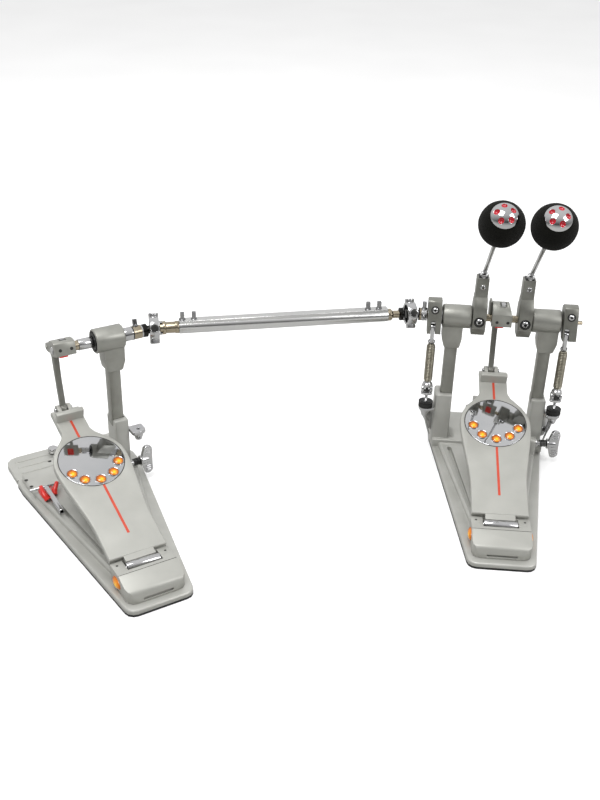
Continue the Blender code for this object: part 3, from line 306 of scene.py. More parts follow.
# A lighter copy of the grey paint for the bases and the stabiliser plate: painted light, making up for the
# shade that they sit in.
BASE_LIFTED_PAINT = surface("base_paint_with_painted_light", ((0.43, 0.43, 0.4), (0.485, 0.485, 0.455)), (0.38, 0.5), 0.4, 35.0,
               grain=1500.0, bump=0.14, depth=0.00008, edge=0.0009, edge_wear_and_highlight=(0.58, 0.58, 0.55), coat=0.1)
CAST = surface("cast_grey_paint", ((0.195, 0.195, 0.173), (0.24, 0.24, 0.215)), (0.34, 0.46), 0.55, 60.0,
               grain=1400.0, bump=0.15, edge=0.0008, edge_wear_and_highlight=(0.44, 0.44, 0.41), coat=0.2)
LINKAGE = surface("link_grey", ((0.185, 0.185, 0.165), (0.225, 0.225, 0.203)), (0.36, 0.48), 0.55, 60.0,
                  grain=1400.0, bump=0.12, edge=0.0007, edge_wear_and_highlight=(0.34, 0.34, 0.32))
CHROME = surface("chrome", ((0.52, 0.52, 0.53), (0.62, 0.62, 0.62)), (0.06, 0.12), 1.0, 30.0, grain=300.0,
                 bump=0.01, edge=0.0004)
MIRROR = surface("toe_plate_chrome", ((0.56, 0.57, 0.58), (0.62, 0.62, 0.63)), (0.03, 0.07), 1.0, 22.0,
                 grain=120.0, bump=0.01, edge=0.0003)
BRONZE = surface("nickel_bronze", BRONZE_TONES, (0.18, 0.28), 1.0, 40.0, grain=500.0, bump=0.03, edge=0.0004)
SCREW = surface("screw_chrome", ((0.24, 0.24, 0.25), (0.34, 0.34, 0.34)), (0.12, 0.22), 1.0, 120.0,
                grain=500.0, bump=0.03, edge=0.0003)
BRUSHED = surface("brushed_aluminium", ((0.66, 0.66, 0.655), (0.7, 0.7, 0.69)), (0.2, 0.24), 1.0, 25.0,
                  grain=1800.0, bump=0.02, edge=0.0004)
STEEL = surface("dark_steel", ((0.04, 0.04, 0.04), (0.075, 0.075, 0.07)), (0.32, 0.48), 0.8, 90.0,
                edge=0.0004)
SPRING = surface("spring_wire", ((0.3, 0.28, 0.22), (0.46, 0.43, 0.35)), (0.24, 0.36), 1.0, 160.0, bump=0.05,
                 edge=0.0)
RUBBER = surface("black_rubber", ((0.012, 0.012, 0.012), (0.028, 0.028, 0.028)), (0.7, 0.85), 0.0, 120.0,
                 bump=0.3, edge=0.0005)
BLACK = surface("black_plastic", ((0.008, 0.008, 0.008), (0.018, 0.018, 0.018)), (0.4, 0.54), 0.0, 160.0,
                bump=0.2, edge=0.0004)
FELT = surface("black_felt", ((0.002, 0.002, 0.0015), (0.008, 0.008, 0.006)), (0.92, 1.0), 0.0, 700.0,
               grain=2600.0, bump=0.9, depth=0.0006, edge=0.0, sheen=0.06, specular=0.1)
RED = surface("red_plastic", ((0.62, 0.016, 0.01), (0.76, 0.03, 0.016)), (0.24, 0.36), 0.0, 60.0, bump=0.05,
              edge=0.0005, coat=0.3)
STRIPE = surface("orange_red_stripe", ((0.5, 0.048, 0.02), (0.58, 0.066, 0.03)), (0.36, 0.48), 0.0, 80.0,
                 bump=0.08, edge=0.0)
DIMPLE = surface("red_enamel", ((0.42, 0.004, 0.016), (0.6, 0.012, 0.032)), (0.12, 0.22), 0.0, 80.0,
                 bump=0.02, edge=0.0, coat=0.4)
AMBER = amber("amber_lens")

SLOT_LOOKS = {
    "grey_paint": PAINT, "dark_casting": CAST, "bearing_steel": STEEL, "chrome": CHROME, "bronze": BRONZE,
    "spring_wire": SPRING, "satin_aluminium": BRUSHED, "rubber": RUBBER, "knob_plastic": BLACK, "felt": FELT,
    "red_plastic": RED,
}
NODE_LOOKS = {
    "main_footboard": BOARD, "slave_footboard": BOARD, "main_toe_plate": MIRROR, "slave_toe_plate": MIRROR,
    "main_link": LINKAGE, "slave_link": LINKAGE, "main_heel_block": BOARD, "slave_heel_block": BOARD,
    "main_base": BASE_LIFTED_PAINT, "slave_base": BASE_LIFTED_PAINT, "stabiliser_plate": BASE_LIFTED_PAINT, "left_beater_holder": CAST,
    "right_beater_holder": CAST,
    "main_inner_shaft": forked("main_shaft_bronze", BRONZE_TONES, MAIN_JOINT_AT, 0.0185),
    "left_beater_shaft": forked("beater_shaft_bronze", BRONZE_TONES, MAIN_JOINT_AT, 0.0165),
    "slave_inner_shaft": forked("slave_shaft_bronze", BRONZE_TONES, SLAVE_JOINT_AT, 0.014),
    "slave_axle": forked("slave_axle_chrome", CHROME_TONES, SLAVE_JOINT_AT, 0.021),
}


def dress_nodes():
    """Gives each CAD node its finish, smooth shading and fine real chamfers."""
    for part in frame["record"]["subparts"]:
        node = frame["nodes"][part["node"]]
        look = NODE_LOOKS.get(node.name, SLOT_LOOKS[part["material_slot"]])
        node.data.materials.clear()
        node.data.materials.append(look)
        node.data.shade_smooth()
        weld = node.modifiers.new("weld", "WELD")
        weld.merge_threshold = 0.00001
        flat = node.modifiers.new("flat", "DECIMATE")
        flat.decimate_type = "DISSOLVE"
        flat.angle_limit = radians(0.6)
        bevel = node.modifiers.new("bevel", "BEVEL")
        bevel.limit_method = "ANGLE"
        bevel.angle_limit = radians(40)
        bevel.width = 0.0005
        bevel.segments = 2
        bevel.harden_normals = True
        split = node.modifiers.new("split", "EDGE_SPLIT")
        split.split_angle = radians(50)


# ---------------------------------------------------------------- shapes


def mm(*points):
    """Points written in millimetres, in metres."""
    return [tuple(value / 1000 for value in point) for point in points]


def add_turned(shape, profile, place, sides=32, look=0, ring=False):
    """Adds (radius, height) points turned about Z, in one look or one a step. ring closes the profile."""
    rings = []
    for radius, height in profile:
        if radius < 1e-7:
            rings.append([shape.verts.new(place @ Vector((0, 0, height)))])
            continue
        angles = [2 * pi * index / sides for index in range(sides)]
        circle = [place @ Vector((radius * cos(a), radius * sin(a), height)) for a in angles]
        rings.append([shape.verts.new(point) for point in circle])
    pairs = list(zip(rings, rings[1:] + rings[:1])) if ring else list(zip(rings, rings[1:]))
    for step, (below, above) in enumerate(pairs):
        for index in range(sides):
            after = (index + 1) % sides
            corners = (
                below[index % len(below)], below[after % len(below)],
                above[after % len(above)], above[index % len(above)],
            )
            corners = list(dict.fromkeys(corners))
            if len(corners) > 2:
                shape.faces.new(corners).material_index = look[step] if isinstance(look, list) else look


def add_prism(shape, outline, low, high, place, look=0, bevel=0.0, steps=2):
    """Adds an outline in X and Y made solid from low to high in Z, with both rims rounded by bevel."""
    part = bmesh.new()
    below = [part.verts.new((x, y, low)) for x, y in outline]
    above = [part.verts.new((x, y, high)) for x, y in outline]
    part.faces.new(below[::-1])
    part.faces.new(above)
    count = len(outline)
    for index in range(count):
        after = (index + 1) % count
        part.faces.new((below[index], below[after], above[after], above[index]))
    if bevel:
        rims = [edge for edge in part.edges if abs(edge.verts[0].co.z - edge.verts[1].co.z) < 1e-9]
        bmesh.ops.bevel(part, geom=rims, offset=bevel, segments=steps, profile=0.5, affect="EDGES")
    part.transform(place)
    for face in part.faces:
        face.material_index = look
    mesh = bpy.data.meshes.new("part")
    part.to_mesh(mesh)
    part.free()
    shape.from_mesh(mesh)
    bpy.data.meshes.remove(mesh)


def add_tube(shape, points, radii, sides, look=0, loop=False):
    """Adds a round tube along points, with one radius for each point."""
    points = [Vector(point) for point in points]
    count = len(points)
    rings = []
    side = None
    for index, here in enumerate(points):
        if loop:
            ahead = points[(index + 1) % count] - points[index - 1]
        else:
            ahead = points[min(index + 1, count - 1)] - points[max(index - 1, 0)]
        ahead.normalize()
        if side is None:
            side = ahead.orthogonal().normalized()
        side = (side - ahead * side.dot(ahead)).normalized()
        other = ahead.cross(side)
        angles = [2 * pi * step / sides for step in range(sides)]
        circle = [here + (side * cos(a) + other * sin(a)) * radii[index] for a in angles]
        rings.append([shape.verts.new(point) for point in circle])
    pairs = list(zip(rings, rings[1:] + rings[:1])) if loop else list(zip(rings, rings[1:]))
    for below, above in pairs:
        for index in range(sides):
            after = (index + 1) % sides
            face = shape.faces.new((below[index], below[after], above[after], above[index]))
            face.material_index = look
    if not loop:
        shape.faces.new(rings[0][::-1]).material_index = look
        shape.faces.new(rings[-1]).material_index = look


def rounded(corners):
    """A closed outline: each corner is (x, y) or (x, y, radius), and a radius becomes an arc."""
    steps = 5
    outline = []
    for index, corner in enumerate(corners):
        here = Vector(corner[:2])
        radius = corner[2] if len(corner) > 2 else 0.0
        if not radius:
            outline.append(here)
            continue
        back = (Vector(corners[index - 1][:2]) - here).normalized()
        ahead = (Vector(corners[(index + 1) % len(corners)][:2]) - here).normalized()
        half = back.angle(ahead) / 2
        centre = here + (back + ahead).normalized() * (radius / sin(half))
        first = here + back * (radius / tan(half)) - centre
        last = here + ahead * (radius / tan(half)) - centre
        sweep = first.angle_signed(last)
        for step in range(steps + 1):
            outline.append(centre + Matrix.Rotation(-sweep * step / steps, 2) @ first)
    return outline


def rectangle(x_low, x_high, y_low, y_high, radius=0.0):
    corners = ((x_low, y_low), (x_high, y_low), (x_high, y_high), (x_low, y_high))
    return rounded([(*corner, radius) for corner in corners])


def piece(name, shape, looks, body, stands_for=(), sharp=35):
    """Makes the shape a piece on a body, and hides the CAD nodes that it stands for."""
    bmesh.ops.recalc_face_normals(shape, faces=shape.faces)
    mesh = bpy.data.meshes.new(name)
    shape.to_mesh(mesh)
    shape.free()
    for look in looks:
        mesh.materials.append(look)
    mesh.shade_smooth()
    mesh.set_sharp_from_angle(angle=radians(sharp))
    made = bpy.data.objects.new(name, mesh)
    bpy.context.scene.collection.objects.link(made)
    if body:
        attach(made, body)
    if stands_for:
        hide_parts(*stands_for)
    return made


def turned_ring(name, profile, place, look, body, sides=40):
    """A piece that is one closed profile turned about its place's Z."""
    shape = bmesh.new()
    add_turned(shape, profile, place, sides, ring=True)
    piece(name, shape, [look], body)


def add_key_screw(shape, place, height=0.0105):
    """A drum key screw that stands on its surface: a washer, a flange and a square head."""
    half, flange = 0.0028, 0.0045
    profile = [
        (0, -0.0005), (flange, -0.0005), (flange, 0.0006), (flange * 0.92, 0.001), (flange * 0.72, 0.0014),
        (flange * 0.66, 0.0026), (0, 0.0026),
    ]
    add_turned(shape, profile, place, 24)
    add_prism(shape, rectangle(-half, half, -half, half, 0.0005), 0.002, height, place, 0, 0.0005)


def add_socket_bolt(shape, place, radius, rise):
    """A domed bolt head with a dark socket in its middle."""
    angles = [pi / 2 * step / 6 for step in range(6)]
    dome = [(radius * cos(a), rise * sin(a)) for a in angles]
    socket = radius * 0.42
    top = rise * 0.93
    profile = [(0, -0.001), (radius, -0.001)] + [point for point in dome if point[0] > socket * 1.1]
    looks = [0] * len(profile) + [1, 1]
    profile += [(socket, top), (socket * 0.92, top - radius * 0.45), (0, top - radius * 0.45)]
    add_turned(shape, profile, place, look=looks)


# ---------------------------------------------------------------- beaters


def ellipsoid(shape, place, size, look, steps=12, sides=20):
    """Adds a closed ellipsoid with these half sizes."""
    profile = [(sin(pi * step / steps), -cos(pi * step / steps)) for step in range(steps + 1)]
    profile[0] = (0.0, -1.0)
    profile[-1] = (0.0, 1.0)
    add_turned(shape, profile, place @ Matrix.Diagonal((*size, 1.0)), sides, look)


def beater_head(tag, body, lean):
    """The felt head: a slightly uneven ball with a flat foot, and a seat for the cap."""
    shape = bmesh.new()
    foot = (HEAD_RADIUS**2 - HEAD_FOOT_RADIUS**2) ** 0.5
    start = pi - 0.323
    end = 0.641
    angles = [start + (end - start) * step / 44 for step in range(45)]
    profile = [(0, -foot + 0.0012), (0.007, -foot + 0.0004)]
    profile += [(HEAD_RADIUS * sin(angle), HEAD_RADIUS * cos(angle)) for angle in angles]
    profile += [(CAP_RADIUS - 0.0012, CAP_SEAT - 0.0004), (0, CAP_SEAT - 0.0004)]
    add_turned(shape, profile, shift(0, 0, BEATER_REACH), 72)
    middle = Vector((0, 0, BEATER_REACH))
    for vertex in shape.verts:
        out = vertex.co - middle
        if out.length > HEAD_RADIUS * 0.98:
            lump = noise.noise(vertex.co * 90) * 0.6 + noise.noise(vertex.co * 420) * 0.4
            vertex.co -= out.normalized() * (0.00025 + 0.00025 * lump)
    shape.transform(lean)
    piece(tag + "_felt_head", shape, [FELT], body, [tag + "_beater_head"], 60)


def beater_cap(tag, body, lean, first_dimple):
    """The chrome cap: a dome with five red dimples round its top."""
    dome = (CAP_RADIUS**2 + CAP_RISE**2) / (2 * CAP_RISE)
    reach = 0.919
    seat = CAP_SEAT + 0.0011
    angles = [reach * (1 - step / 20) for step in range(21)]
    profile = [(0, seat - 0.0008), (CAP_RADIUS - 0.0004, seat - 0.0008), (CAP_RADIUS, seat - 0.0004)]
    profile += [(dome * sin(angle), seat + CAP_RISE - dome + dome * cos(angle)) for angle in angles]
    shape = bmesh.new()
    add_turned(shape, profile[:-1] + [(0, seat + CAP_RISE)], lean @ shift(0, 0, BEATER_REACH), 72)
    cap = piece(tag + "_cap_dome", shape, [CHROME, DIMPLE], body, [tag + "_beater_cap"], 30)
    cutter_shape = bmesh.new()
    tilt = 0.54
    middle = lean @ shift(0, 0, BEATER_REACH + seat + CAP_RISE - dome)
    for index in range(5):
        around = turn_about(radians(first_dimple + 72 * index), "Z")
        place = middle @ around @ turn_about(tilt, "Y") @ shift(0, 0, dome + 0.0003)
        ellipsoid(cutter_shape, place, (0.0043, 0.0038, 0.0034), 0)
    bmesh.ops.recalc_face_normals(cutter_shape, faces=cutter_shape.faces)
    cutter_mesh = bpy.data.meshes.new(tag + "_dimples")
    cutter_shape.to_mesh(cutter_mesh)
    cutter_shape.free()
    cutter_mesh.materials.append(DIMPLE)
    cutter_mesh.shade_smooth()
    cutter = bpy.data.objects.new(tag + "_dimples", cutter_mesh)
    bpy.context.scene.collection.objects.link(cutter)
    step = cap.modifiers.new("dimples", "BOOLEAN")
    step.operation = "DIFFERENCE"
    step.solver = "EXACT"
    step.material_mode = "TRANSFER"
    step.object = cutter
    bpy.context.view_layer.update()
    result = bpy.data.meshes.new_from_object(cap.evaluated_get(bpy.context.evaluated_depsgraph_get()))
    cap.modifiers.clear()
    cap.data = result
    bpy.data.objects.remove(cutter, do_unlink=True)


def beater(side, tag, body, first_dimple):
    lean = shift(side * HOLDER_X, 0, AXLE_Z + ROD_EXIT_Z) @ turn_about(ROD_LEAN, "X")
    beater_head(tag, body, lean)
    beater_cap(tag, body, lean, first_dimple)
    shape = bmesh.new()
    collar = mm(
        (3.1, 2), (5, 2), (5.5, 2.6), (5.5, 9.2), (5, 9.8), (4.3, 10), (4.3, 12.4), (3.6, 13), (3.1, 13),
    )
    add_turned(shape, collar, lean, 28, ring=True)
    add_socket_bolt(shape, lean @ shift(0, -0.0052, 0.006) @ FACING_HEEL, 0.0022, 0.0014)
    piece(tag + "_rod_collar", shape, [CHROME, STEEL], body)


# ---------------------------------------------------------------- holders, rockers and cams


def holder_fittings(side, tag, body):
    """The clamp bolt in its black ring, the key screw above it and the black top of a beater holder."""
    front = shift(side * HOLDER_X, -0.0185, AXLE_Z) @ FACING_HEEL
    shape = bmesh.new()
    ring = mm((6.1, 0.4), (7.6, 0.4), (7.8, 0.1), (7.8, -0.4), (6.1, -0.4))
    add_turned(shape, ring, front, 40, ring=True)
    top = rectangle(-0.0064, 0.0064, -0.0076, 0.0082, 0.001)
    add_prism(shape, top, 0.0, 0.0012, shift(side * HOLDER_X, 0, AXLE_Z + ROD_EXIT_Z), 0, 0.0004)
    piece(tag + "_holder_black", shape, [BLACK], body)
    shape = bmesh.new()
    add_socket_bolt(shape, front @ shift(0, 0, -0.0022), 0.0057, 0.0042)
    seat = shift(side * HOLDER_X + 0.0006, -0.0082, AXLE_Z + 0.05) @ FACING_HEEL
    add_socket_bolt(shape, seat, 0.004, 0.0018)
    piece(tag + "_holder_bolts", shape, [CHROME, STEEL], body)
    shape = bmesh.new()
    add_turned(shape, mm((4, 0.3), (5.2, 0.3), (5.3, -0.4), (4, -0.4)), seat, 32, ring=True)
    add_prism(shape, rectangle(-0.0096, 0.0096, 0.0, 0.0004), -0.01, -0.0092,
              shift(side * HOLDER_X, -0.0188, AXLE_Z))
    piece(tag + "_holder_seat", shape, [CAST], body)


def rocker_fittings(side, tag, body):
    """The chrome clamp bolt of a spring rocker, its slider and the ring under its strap."""
    lean = turn_about(-0.28, "X")
    front = shift(side * ROCKER_X, -0.0155, AXLE_Z + 0.014) @ lean @ FACING_HEEL
    seat = mm((4.4, 0.3), (5.8, 0.3), (6, -0.5), (4.4, -0.5))
    turned_ring(tag + "_rocker_seat", seat, front, STEEL, body, 32)
    shape = bmesh.new()
    add_socket_bolt(shape, front, 0.0043, 0.0022)
    middle = side * SPRING_X[side]
    slider = shift(middle, -0.019, AXLE_Z - 0.0036)
    add_prism(shape, rectangle(-0.003, 0.003, -0.0022, 0.0022, 0.0006), -0.0012, 0.0012, slider, 0, 0.0004)
    barrel = shift(middle - 0.0032, SPRING_Y, AXLE_Z - 0.011) @ ALONG_X
    add_turned(shape, mm((0, 0), (2.6, 0), (3, 0.4), (3, 0.4), (2.6, 0.6), (0, 0.6)), barrel)
    loop_z = COIL_TOP + 0.0052
    angles = [2 * pi * step / 28 for step in range(28)]
    loop = [(middle + 0.0043 * cos(a), SPRING_Y + 0.0008 * sin(a), loop_z + 0.0034 * sin(a)) for a in angles]
    add_tube(shape, loop, [0.001] * 28, 10, loop=True)
    piece(tag + "_rocker_bolt", shape, [CHROME, STEEL], body)


def cam_fittings(tag, axle, tall):
    """The two set screws in the front of a cam, its red pad, and the chrome nut in its top."""
    body = tag + "_axle"
    top = 0.0235 if tall else 0.0125
    screw = mm((0, 0.25), (2, 0.25), (2.3, 0), (2.3, -0.6), (0, -0.6))
    shape = bmesh.new()
    for x in (-0.0068, 0.0088):
        place = axle @ shift(x, -0.0125, -0.0012 if tall else -0.0002) @ FACING_HEEL
        add_turned(shape, screw, place, 24)
    piece(tag + "_cam_set_screws", shape, [STEEL], body)
    shape = bmesh.new()
    pad = axle @ shift(-0.0027, -0.003, -0.0102)
    add_prism(shape, rectangle(-0.0058, 0.0058, -0.0088, 0.006, 0.001), 0.0, 0.0019, pad, 0, 0.0004)
    piece(tag + "_cam_pad", shape, [RED], body)
    shape = bmesh.new()
    add_prism(shape, rectangle(-0.003, 0.003, -0.004, 0.004, 0.0006), top - 0.004, top + 0.0002,
              axle @ shift(0.001, 0, 0), 0, 0.0006)
    if tall:
        ear = mm((0, -1.2), (3.4, -1.2), (3.8, -0.6), (3.8, 0.6), (0, 0.6))
        add_turned(shape, ear, axle @ shift(-0.015, 0.014, 0.016) @ ALONG_X, 24)
    piece(tag + "_cam_nut", shape, [CHROME], body)
    if tall:
        shape = bmesh.new()
        outline = rounded(mm((2, -6), (20, -6, 4), (24.5, 12, 6), (17, 25, 6), (6, 25, 4), (2, 10)))
        add_prism(shape, outline, -0.0172, -0.0146, axle @ SIDE_ON, 0, 0.0008)
        piece(tag + "_cam_cheek", shape, [PAINT], body)


# ---------------------------------------------------------------- springs and tension rods


def spring(side, tag):
    """A nearly closed coil that tapers at both ends, between the frame and the rocker."""
    turns, per_turn, wire = 25, 20, 0.0011
    count = turns * per_turn
    middle = side * SPRING_X[side]
    low, high = COIL_BOTTOM - 0.001, COIL_TOP + 0.0012
    points = []
    for step in range(count + 1):
        share = step / count
        end = min(share, 1 - share) * turns
        radius = COIL_RADIUS * (0.62 + 0.38 * min(1.0, end / 1.5) ** 0.7) + 0.0003
        angle = 2 * pi * step / per_turn
        height = low + (high - low) * share
        points.append((middle + radius * cos(angle), SPRING_Y + radius * sin(angle), height))
    shape = bmesh.new()
    add_tube(shape, points, [wire] * len(points), 7)
    # A dark core inside the coil: painted shade in the spring's hollow.
    painted_shade_core = [(0, low + 0.002), (0.004, low + 0.004), (0.004, high - 0.005), (0, high - 0.003)]
    add_turned(shape, painted_shade_core, shift(middle, SPRING_Y, 0), 16, 1)
    made = piece(tag + "_coil", shape, [SPRING, STEEL], None, [tag + "_spring"], 60)
    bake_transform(made)


def tension_rod(side, tag):
    """The threaded rod, with the chrome swivel block that the spring hooks into."""
    place = shift(side * SPRING_X[side], SPRING_Y, 0)
    shape = bmesh.new()
    pitch = 0.001
    thread = [(0, 0.06)]
    for index in range(38):
        thread += [(0.00165, 0.0602 + pitch * index), (0.00215, 0.0602 + pitch * (index + 0.5))]
    thread += mm((1.7, 98.5), (5, 99), (5.6, 99.6), (5.6, 100.6), (0, 101))
    add_turned(shape, thread, place, 20)
    yoke = rounded(mm(
        (-7.8, -5.2, 2.6), (7.8, -5.2, 2.6), (8.8, 0, 3), (7, 5.2, 2.6), (-7, 5.2, 2.6), (-8.8, 0, 3),
    ))
    add_prism(shape, yoke, 0.1, 0.1032, place, 0, 0.001, 3)
    for x in (-0.006, 0.006):
        cheek = place @ shift(x, 0, 0.1085) @ ALONG_X
        profile = mm(
            (0, -2.4), (4.6, -2.4), (5.6, -1.8), (6, -0.6), (6, 0.6), (5.6, 1.8), (4.6, 2.4), (0, 2.4),
        )
        add_turned(shape, profile, cheek, 28)
    collar = mm(
        (0, 112), (5.8, 112.2), (7.4, 113.6), (7.8, 115.6), (7.2, 117.8), (5.6, 119), (4.8, 120.6),
        (5.2, 121.6), (4.6, 122.4), (0, 122.4),
    )
    add_turned(shape, collar, place, 28)
    barrel = mm((0, -6.8), (1.8, -6.8), (2, -6.4), (2, 6.4), (1.8, 6.8), (0, 6.8))
    add_turned(shape, barrel, place @ shift(0, -0.0022, 0.106) @ ALONG_X, 16, 1)
    add_prism(shape, rectangle(-0.0022, 0.0022, -0.004, 0.004, 0.0008), 0.103, 0.1125, place, 1, 0.0005)
    body = tag + "_tension_rod"
    piece(tag + "_swivel", shape, [CHROME, STEEL], body, [body])


def tension_knob(side, tag):
    """The knurled knob: ridges all round it, and a raised hub."""
    ridges = 34
    outline = []
    for index in range(ridges * 4):
        angle = 2 * pi * index / (ridges * 4)
        radius = KNOB_RADIUS - (0.00055 if index % 4 in (0, 3) else 0.0)
        outline.append(Vector((radius * cos(angle), radius * sin(angle))))
    place = shift(side * SPRING_X[side], SPRING_Y, 0)
    shape = bmesh.new()
    low, high = KNOB_Z
    add_prism(shape, outline, low, high - 0.0008, place, 0, 0.0009)
    foot = high - 0.0012
    hub = [(0.002, foot), (0.0074, foot), (0.007, high), (0.0034, high), (0.002, high - 0.0004)]
    add_turned(shape, hub, place, 32, ring=True)
    body = tag + "_tension_knob"
    piece(tag + "_knurled_knob", shape, [BLACK], body, [body])


def bracket_gusset(side, tag):
    """The folded chrome gusset under a spring bracket, down the outside of its socket."""
    near = side * (SOCKET_OUTER_X[side] + 0.0006)
    far = side * (SPRING_X[side] + 0.007)
    top = BRACKET_Z[0] - 0.0002
    shape = bmesh.new()
    outline = rounded([
        (near, top), (far, top), (far - side * 0.001, top - 0.0118, 0.004),
        (near + side * 0.0045, 0.033, 0.003), (near, 0.03),
    ])
    add_prism(shape, outline, 0.005, 0.0075, UPRIGHT, 0, 0.0006)
    rod = [(side * (SPRING_X[side] - inset), y, z) for inset, y, z in BRACKET_ROD]
    rod.append((near + side * 0.003, -0.0165, 0.028))
    add_tube(shape, rod, [0.0014, 0.0014, 0.0014, 0.0012], 10)
    piece(tag + "_bracket_gusset", shape, [CHROME], "main_frame")


# ---------------------------------------------------------------- shafts, joints and seals


def seal_and_shadow_rings(prefix, pedal, sides):
    """The black seals at both ends of each bearing housing, their black partly a painted shadow ring where
    the axle enters, with a chrome washer on the outer side.
    """
    black = bmesh.new()
    washers = bmesh.new()
    for side in sides:
        inner = side * (HOUSING_X - HOUSING_HALF - 0.0008)
        outer = side * (HOUSING_X + HOUSING_HALF + 0.0002)
        for x in (inner, outer):
            low = min(x, x + side * 0.0006)
            place = pedal @ shift(low, 0, AXLE_Z) @ ALONG_X
            # The black ring is partly a painted shadow ring where the axle enters the housing.
            ring = mm((8.2, 0), (12.8, 0), (12.8, 0.7), (8.2, 0.7))
            add_turned(black, ring, place, 40, ring=True)
        place = pedal @ shift(outer + side * 0.0004, 0, AXLE_Z) @ ALONG_X
        ring = [(0.0064, 0), (0.0092, 0), (0.0092, side * 0.001), (0.0064, side * 0.001)]
        add_turned(washers, ring, place, 32, ring=True)
    piece(prefix + "_seals_and_shadow", black, [BLACK], prefix + "_frame")
    piece(prefix + "_washers", washers, [CHROME], prefix + "_frame")


def joint_ring(prefix, centre, body):
    """A universal joint: the chrome ring with four capped bosses, and the dark spider inside it."""
    shape = bmesh.new()
    ring = mm(
        (13.1, -5.8), (13.9, -6.6), (16.2, -6.6), (17, -5.4), (17.3, 0), (17, 5.4), (16.2, 6.6), (13.9, 6.6),
        (13.1, 5.8),
    )
    add_turned(shape, ring, centre @ ALONG_X, 64, ring=True)
    boss = mm(
        (0, 13.2), (6.8, 13.2), (7.1, 18), (7, 20.4), (6.2, 21.4), (5.4, 21.6), (5, 21), (4, 21.2),
        (1.6, 21.2), (1.2, 20.8), (0, 20.8),
    )
    pin = mm((0, 0), (4.3, 0), (4.3, 13.6), (0, 13.6))
    for index in range(4):
        place = centre @ turn_about(JOINT_PHASE + pi / 2 * index, "X")
        add_turned(shape, boss, place, 32, [0] * 6 + [1] * 4)
        add_turned(shape, pin, place, 20, 1)
    middle = centre @ turn_about(JOINT_PHASE, "X")
    add_prism(shape, rectangle(-0.0062, 0.0062, -0.0062, 0.0062, 0.002), -0.0062, 0.0062, middle, 1, 0.0014)
    piece(prefix + "_joint_ring", shape, [CHROME, STEEL], body, [prefix + "_joint_cross"])


def sleeve_screws():
    """Two key screws near each end of the sleeve's rail."""
    shape = bmesh.new()
    low = -SHAFT_LENGTH + SLEEVE_SETBACK
    for along in (low + 0.0052, low + 0.0214, -SLEEVE_SETBACK - 0.0296, -SLEEVE_SETBACK - 0.0132):
        add_key_screw(shape, SHAFT @ shift(along, 0, RAIL_TOP))
    piece("sleeve_key_screws", shape, [SCREW], "drive_shaft")


def collar_screws():
    """The key screws of the two shaft collars, and the clamp bolt in the front of the left one."""
    shape = bmesh.new()
    collar = shift(COLLAR_X, 0, AXLE_Z)
    add_key_screw(shape, collar @ shift(0, 0, 0.0088))
    add_socket_bolt(shape, collar @ shift(0, -0.0085, 0) @ FACING_HEEL, 0.0036, 0.0022)
    piece("left_collar_screws", shape, [SCREW, STEEL], "left_beater")
    band = mm((8.6, -3.6), (9, -4), (9.3, -3.6), (9.3, 3.6), (9, 4), (8.6, 3.6))
    turned_ring("left_collar_band", band, collar @ ALONG_X, CHROME, "left_beater")
    tube = mm((6, 8), (7.4, 8), (7.5, 15), (8, 17.8), (8, 34.4), (6, 34.4))
    turned_ring("slave_bronze_tube", tube, SHAFT_END @ ALONG_X, BRONZE, "slave_shaft_end")
    shape = bmesh.new()
    add_key_screw(shape, SLAVE_AXLE @ shift(0.106, 0, 0.009), height=0.0095)
    piece("slave_collar_screw", shape, [SCREW], "slave_axle")
    cuff = mm((7, 86.8), (9.3, 86.8), (9.5, 87.2), (9.5, 99), (7, 99))
    seal = mm((7, 99), (9.6, 99), (9.6, 100.4), (7, 100.4))
    hub = mm((7, 100.4), (9.4, 100.4), (9.4, 112), (7, 112))
    spacer = mm((5, 14.7), (6.4, 14.7), (6.8, 15.1), (6.8, 21), (6.5, 21.3), (5, 21.3))
    along = SLAVE_AXLE @ ALONG_X
    turned_ring("slave_chrome_sleeve", cuff, along, CHROME, "slave_axle")
    turned_ring("slave_black_ring", seal, along, BLACK, "slave_axle")
    turned_ring("slave_bronze_collar", hub, along, BRONZE, "slave_axle")
    turned_ring("slave_bronze_spacer", spacer, along, BRONZE, "slave_axle")


# ---------------------------------------------------------------- footboards and heels


def paint_lens_glow(lenses, centres, reach):
    """Stores how near each point is to a lens's painted yellow spot."""
    painted_glow = lenses.data.attributes.new("painted_glow", "FLOAT", "POINT")
    for index, vertex in enumerate(lenses.data.vertices):
        near = min((vertex.co - centre).length for centre in centres)
        painted_glow.data[index].value = exp(-((near / reach) ** 2))


def jewels(prefix, board, places):
    """Amber lenses in chrome bezels, round the heel side of the toe plate."""
    lenses = bmesh.new()
    bezels = bmesh.new()
    centres = []
    angles = [pi / 2 * step / 10 for step in range(10)]
    dome = [(JEWEL_RADIUS * cos(a), 0.0032 * sin(a)) for a in angles]
    dome = [(0, 0)] + dome + [(0, 0.0032)]
    for x, along in places:
        place = board @ shift(x, along, PLATE_TOP)
        add_turned(lenses, dome, place, 40)
        # The painted yellow spot sits toward the heel, near the top of each lens.
        centres.append(place @ Vector((0, -JEWEL_RADIUS * 0.38, 0.0024)))
        ring = mm((6.6, 0), (8, 0), (8, 0.6), (7.4, 1.3), (6.8, 1))
        add_turned(bezels, ring, place, 40, ring=True)
    made = piece(prefix + "_jewels", lenses, [AMBER], prefix + "_footboard", sharp=60)
    paint_lens_glow(made, centres, JEWEL_RADIUS * 0.62)
    piece(prefix + "_jewel_bezels", bezels, [CHROME], prefix + "_footboard")


